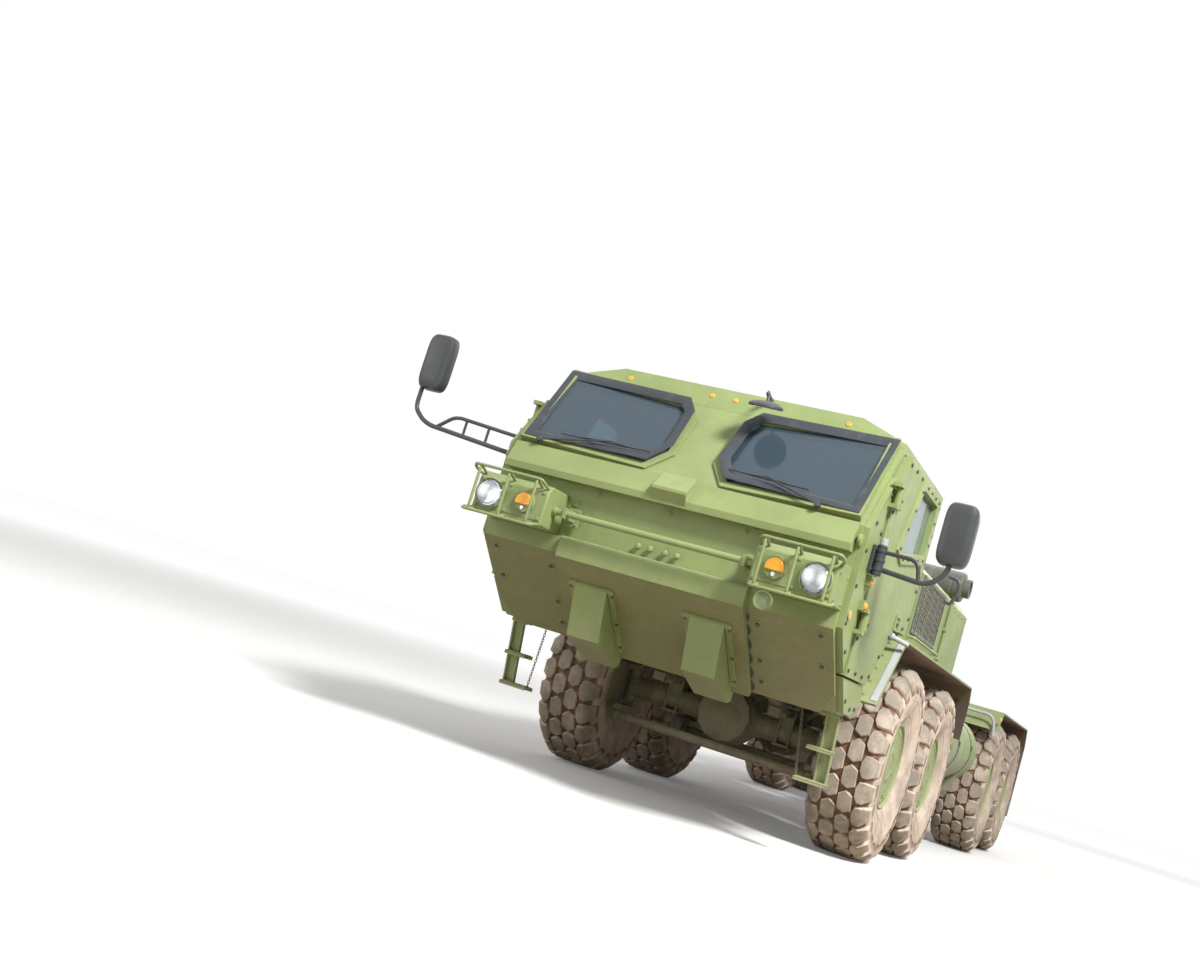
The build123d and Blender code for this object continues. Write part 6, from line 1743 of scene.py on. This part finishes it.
def make_floor():
    """A pale floor that fades into the world far off and is seen through from beneath."""
    mesh = bpy.data.meshes.new("floor")
    corners = [(x * FLOOR_HALF, y * FLOOR_HALF, 0) for x, y in ((-1, -1), (1, -1), (1, 1), (-1, 1))]
    mesh.from_pydata(corners, [], [(0, 1, 2, 3)])
    floor = bpy.data.objects.new("floor", mesh)
    bpy.context.scene.collection.objects.link(floor)
    made, tree, shader = material("floor finish")
    mesh.materials.append(made)
    path = node(tree, "ShaderNodeLightPath").outputs
    seen = maths(tree, "MAXIMUM", path["Is Camera Ray"], path["Is Glossy Ray"])
    beneath = node(tree, "ShaderNodeNewGeometry").outputs["Backfacing"]
    far = node(tree, "ShaderNodeVectorMath", {0: object_place(tree)}, operation="LENGTH").outputs["Value"]
    give(tree, shader, {
        "Base Color": blend(tree, seen, (0.42, 0.37, 0.30, 1), (0.86, 0.85, 0.83, 1)),
        "Roughness": 0.9,
        "Specular IOR Level": 0.1,
        "Alpha": maths(tree, "SUBTRACT", 1.0, beneath),
        "Emission Color": (1, 1, 1, 1),
        "Emission Strength": maths(tree, "MULTIPLY", seen, ramp(tree, far, 6.0, 26.0, 0.10, 0.62)),
    })


def make_stage():
    """The pale floor and world, the studio lamps and the photograph's camera."""
    scene = bpy.context.scene
    scene.view_settings.view_transform = "Standard"
    make_world()
    make_floor()
    light("key", (8.0, -10.0, 11.0), 3.2, 3150)
    light("fill", (-9.0, -12.0, 5.0), 8.0, 420)
    light("back", (2.0, 13.0, 9.0), 8.0, 600, (0, 1.0, 1.2))
    camera = bpy.data.objects.new("camera", bpy.data.cameras.new("camera"))
    camera.location = CAMERA_PLACE
    camera.rotation_euler = [radians(angle) for angle in CAMERA_TURN]
    camera.data.lens = settings()[0].lens_length
    camera.data.sensor_width = 36
    scene.collection.objects.link(camera)
    scene.camera = camera


# Operators, one for each group of pieces
class TRUCK_OT_stage(bpy.types.Operator):
    """Make the floor, lamps and camera."""

    bl_idname = "truck.stage"
    bl_label = "Stage"

    def execute(self, context):
        make_stage()
        return {"FINISHED"}


class TRUCK_OT_frame_finish(bpy.types.Operator):
    """Paint the CAD nodes that stay in view."""

    bl_idname = "truck.frame_finish"
    bl_label = "Frame Finish"

    def execute(self, context):
        finish_cad()
        return {"FINISHED"}


class TRUCK_OT_tyres(bpy.types.Operator):
    """Make the eight treaded tyres."""

    bl_idname = "truck.tyres"
    bl_label = "Tyres"

    def execute(self, context):
        make_tyres()
        return {"FINISHED"}


class TRUCK_OT_wheels(bpy.types.Operator):
    """Make the eight wheel discs."""

    bl_idname = "truck.wheels"
    bl_label = "Wheels"

    def execute(self, context):
        make_wheels()
        return {"FINISHED"}


class TRUCK_OT_screens(bpy.types.Operator):
    """Make the screens' dark seals."""

    bl_idname = "truck.screens"
    bl_label = "Screens"

    def execute(self, context):
        make_screens()
        return {"FINISHED"}


class TRUCK_OT_wipers(bpy.types.Operator):
    """Make the two wipers."""

    bl_idname = "truck.wipers"
    bl_label = "Wipers"

    def execute(self, context):
        make_wipers()
        return {"FINISHED"}


class TRUCK_OT_lamp_boxes(bpy.types.Operator):
    """Make the lamp boxes, guards, cross rail and night lamp."""

    bl_idname = "truck.lamp_boxes"
    bl_label = "Lamp Boxes"

    def execute(self, context):
        make_lamp_boxes()
        return {"FINISHED"}


class TRUCK_OT_headlamps(bpy.types.Operator):
    """Make the headlamps."""

    bl_idname = "truck.headlamps"
    bl_label = "Headlamps"

    def execute(self, context):
        make_headlamps()
        return {"FINISHED"}


class TRUCK_OT_signals(bpy.types.Operator):
    """Make the signal lamps."""

    bl_idname = "truck.signals"
    bl_label = "Signal Lamps"

    def execute(self, context):
        make_signals()
        return {"FINISHED"}


class TRUCK_OT_markers(bpy.types.Operator):
    """Make the small amber lamps."""

    bl_idname = "truck.markers"
    bl_label = "Markers"

    def execute(self, context):
        make_markers()
        return {"FINISHED"}


class TRUCK_OT_cab_bolts(bpy.types.Operator):
    """Make the bolts, knobs and flanges on the cab's plates."""

    bl_idname = "truck.cab_bolts"
    bl_label = "Cab Bolts"

    def execute(self, context):
        make_cab_bolts()
        return {"FINISHED"}


class TRUCK_OT_mirrors(bpy.types.Operator):
    """Make the mirrors with their arms and clamps."""

    bl_idname = "truck.mirrors"
    bl_label = "Mirrors"

    def execute(self, context):
        make_mirrors()
        return {"FINISHED"}


class TRUCK_OT_ladders(bpy.types.Operator):
    """Make the boarding ladders and their chains."""

    bl_idname = "truck.ladders"
    bl_label = "Ladders"

    def execute(self, context):
        make_ladders()
        return {"FINISHED"}


class TRUCK_OT_doors(bpy.types.Operator):
    """Make the doors' bolts, latches and handles."""

    bl_idname = "truck.doors"
    bl_label = "Doors"

    def execute(self, context):
        make_doors()
        return {"FINISHED"}


class TRUCK_OT_grilles(bpy.types.Operator):
    """Make the grilles' mesh, the rails, and the housing's louvres and bolts."""

    bl_idname = "truck.grilles"
    bl_label = "Grilles"

    def execute(self, context):
        make_grilles()
        return {"FINISHED"}


class TRUCK_OT_air_cleaner(bpy.types.Operator):
    """Make the air cleaner."""

    bl_idname = "truck.air_cleaner"
    bl_label = "Air Cleaner"

    def execute(self, context):
        make_air_cleaner()
        return {"FINISHED"}


class TRUCK_OT_fuel_tank(bpy.types.Operator):
    """Make the fuel tank and its straps."""

    bl_idname = "truck.fuel_tank"
    bl_label = "Fuel Tank"

    def execute(self, context):
        make_fuel_tank()
        return {"FINISHED"}


class TRUCK_OT_fenders(bpy.types.Operator):
    """Make the fenders' strips, bolts and tubes."""

    bl_idname = "truck.fenders"
    bl_label = "Fenders"

    def execute(self, context):
        make_fenders()
        return {"FINISHED"}


class TRUCK_OT_seats(bpy.types.Operator):
    """Make the two seats."""

    bl_idname = "truck.seats"
    bl_label = "Seats"

    def execute(self, context):
        make_seats()
        return {"FINISHED"}


class TRUCK_OT_axles(bpy.types.Operator):
    """Make the axle castings and the spring clamps."""

    bl_idname = "truck.axles"
    bl_label = "Axles"

    def execute(self, context):
        make_axles()
        return {"FINISHED"}


class TRUCK_OT_tie_rods(bpy.types.Operator):
    """Make the two tie rods."""

    bl_idname = "truck.tie_rods"
    bl_label = "Tie Rods"

    def execute(self, context):
        make_tie_rods()
        return {"FINISHED"}


class TRUCK_OT_rams(bpy.types.Operator):
    """Make the rams' barrels."""

    bl_idname = "truck.rams"
    bl_label = "Rams"

    def execute(self, context):
        make_rams()
        return {"FINISHED"}


class TRUCK_OT_service_boxes(bpy.types.Operator):
    """Make the battery box and the air tanks."""

    bl_idname = "truck.service_boxes"
    bl_label = "Service Boxes"

    def execute(self, context):
        make_service_boxes()
        return {"FINISHED"}


class TRUCK_OT_tail(bpy.types.Operator):
    """Make the rear beam's lamps and bolts."""

    bl_idname = "truck.tail"
    bl_label = "Tail Lamps"

    def execute(self, context):
        make_tail()
        return {"FINISHED"}


class TRUCK_OT_frame_bolts(bpy.types.Operator):
    """Make the frame rails' bolts."""

    bl_idname = "truck.frame_bolts"
    bl_label = "Frame Bolts"

    def execute(self, context):
        make_frame_bolts()
        return {"FINISHED"}


OPERATORS = (
    TRUCK_OT_stage, TRUCK_OT_frame_finish, TRUCK_OT_tyres, TRUCK_OT_wheels, TRUCK_OT_screens,
    TRUCK_OT_wipers, TRUCK_OT_lamp_boxes, TRUCK_OT_headlamps, TRUCK_OT_signals, TRUCK_OT_markers,
    TRUCK_OT_cab_bolts, TRUCK_OT_mirrors, TRUCK_OT_ladders, TRUCK_OT_doors, TRUCK_OT_grilles,
    TRUCK_OT_air_cleaner, TRUCK_OT_fuel_tank, TRUCK_OT_fenders, TRUCK_OT_seats, TRUCK_OT_axles,
    TRUCK_OT_tie_rods, TRUCK_OT_rams, TRUCK_OT_service_boxes, TRUCK_OT_tail, TRUCK_OT_frame_bolts,
)


class TRUCK_PT_finish(bpy.types.Panel):
    """The truck's making steps and settings."""

    bl_idname = "TRUCK_PT_finish"
    bl_label = "Truck"
    bl_space_type = "VIEW_3D"
    bl_region_type = "UI"
    bl_category = "Truck"

    def draw(self, context):
        for made in OPERATORS:
            self.layout.operator(made.bl_idname)
        for held in (context.scene.truck_sizes, context.scene.truck_colours):
            for name in held.__annotations__:
                self.layout.prop(held, name)


CLASSES = (TruckSizes, TruckColours, *OPERATORS, TRUCK_PT_finish)


def register():
    """Register the classes and the scene's settings."""
    for made in CLASSES:
        bpy.utils.register_class(made)
    bpy.types.Scene.truck_sizes = PointerProperty(type=TruckSizes)
    bpy.types.Scene.truck_colours = PointerProperty(type=TruckColours)


def unregister():
    """Remove the scene's settings and the classes."""
    del bpy.types.Scene.truck_colours
    del bpy.types.Scene.truck_sizes
    for made in reversed(CLASSES):
        bpy.utils.unregister_class(made)


def main():
    """Make every piece in order."""
    register()
    bpy.ops.truck.stage()
    bpy.ops.truck.frame_finish()
    bpy.ops.truck.tyres()
    bpy.ops.truck.wheels()
    bpy.ops.truck.screens()
    bpy.ops.truck.wipers()
    bpy.ops.truck.lamp_boxes()
    bpy.ops.truck.headlamps()
    bpy.ops.truck.signals()
    bpy.ops.truck.markers()
    bpy.ops.truck.cab_bolts()
    bpy.ops.truck.mirrors()
    bpy.ops.truck.ladders()
    bpy.ops.truck.doors()
    bpy.ops.truck.grilles()
    bpy.ops.truck.air_cleaner()
    bpy.ops.truck.fuel_tank()
    bpy.ops.truck.fenders()
    bpy.ops.truck.seats()
    bpy.ops.truck.axles()
    bpy.ops.truck.tie_rods()
    bpy.ops.truck.rams()
    bpy.ops.truck.service_boxes()
    bpy.ops.truck.tail()
    bpy.ops.truck.frame_bolts()
    bpy.context.view_layer.update()


if __name__ == "__main__":
    main()
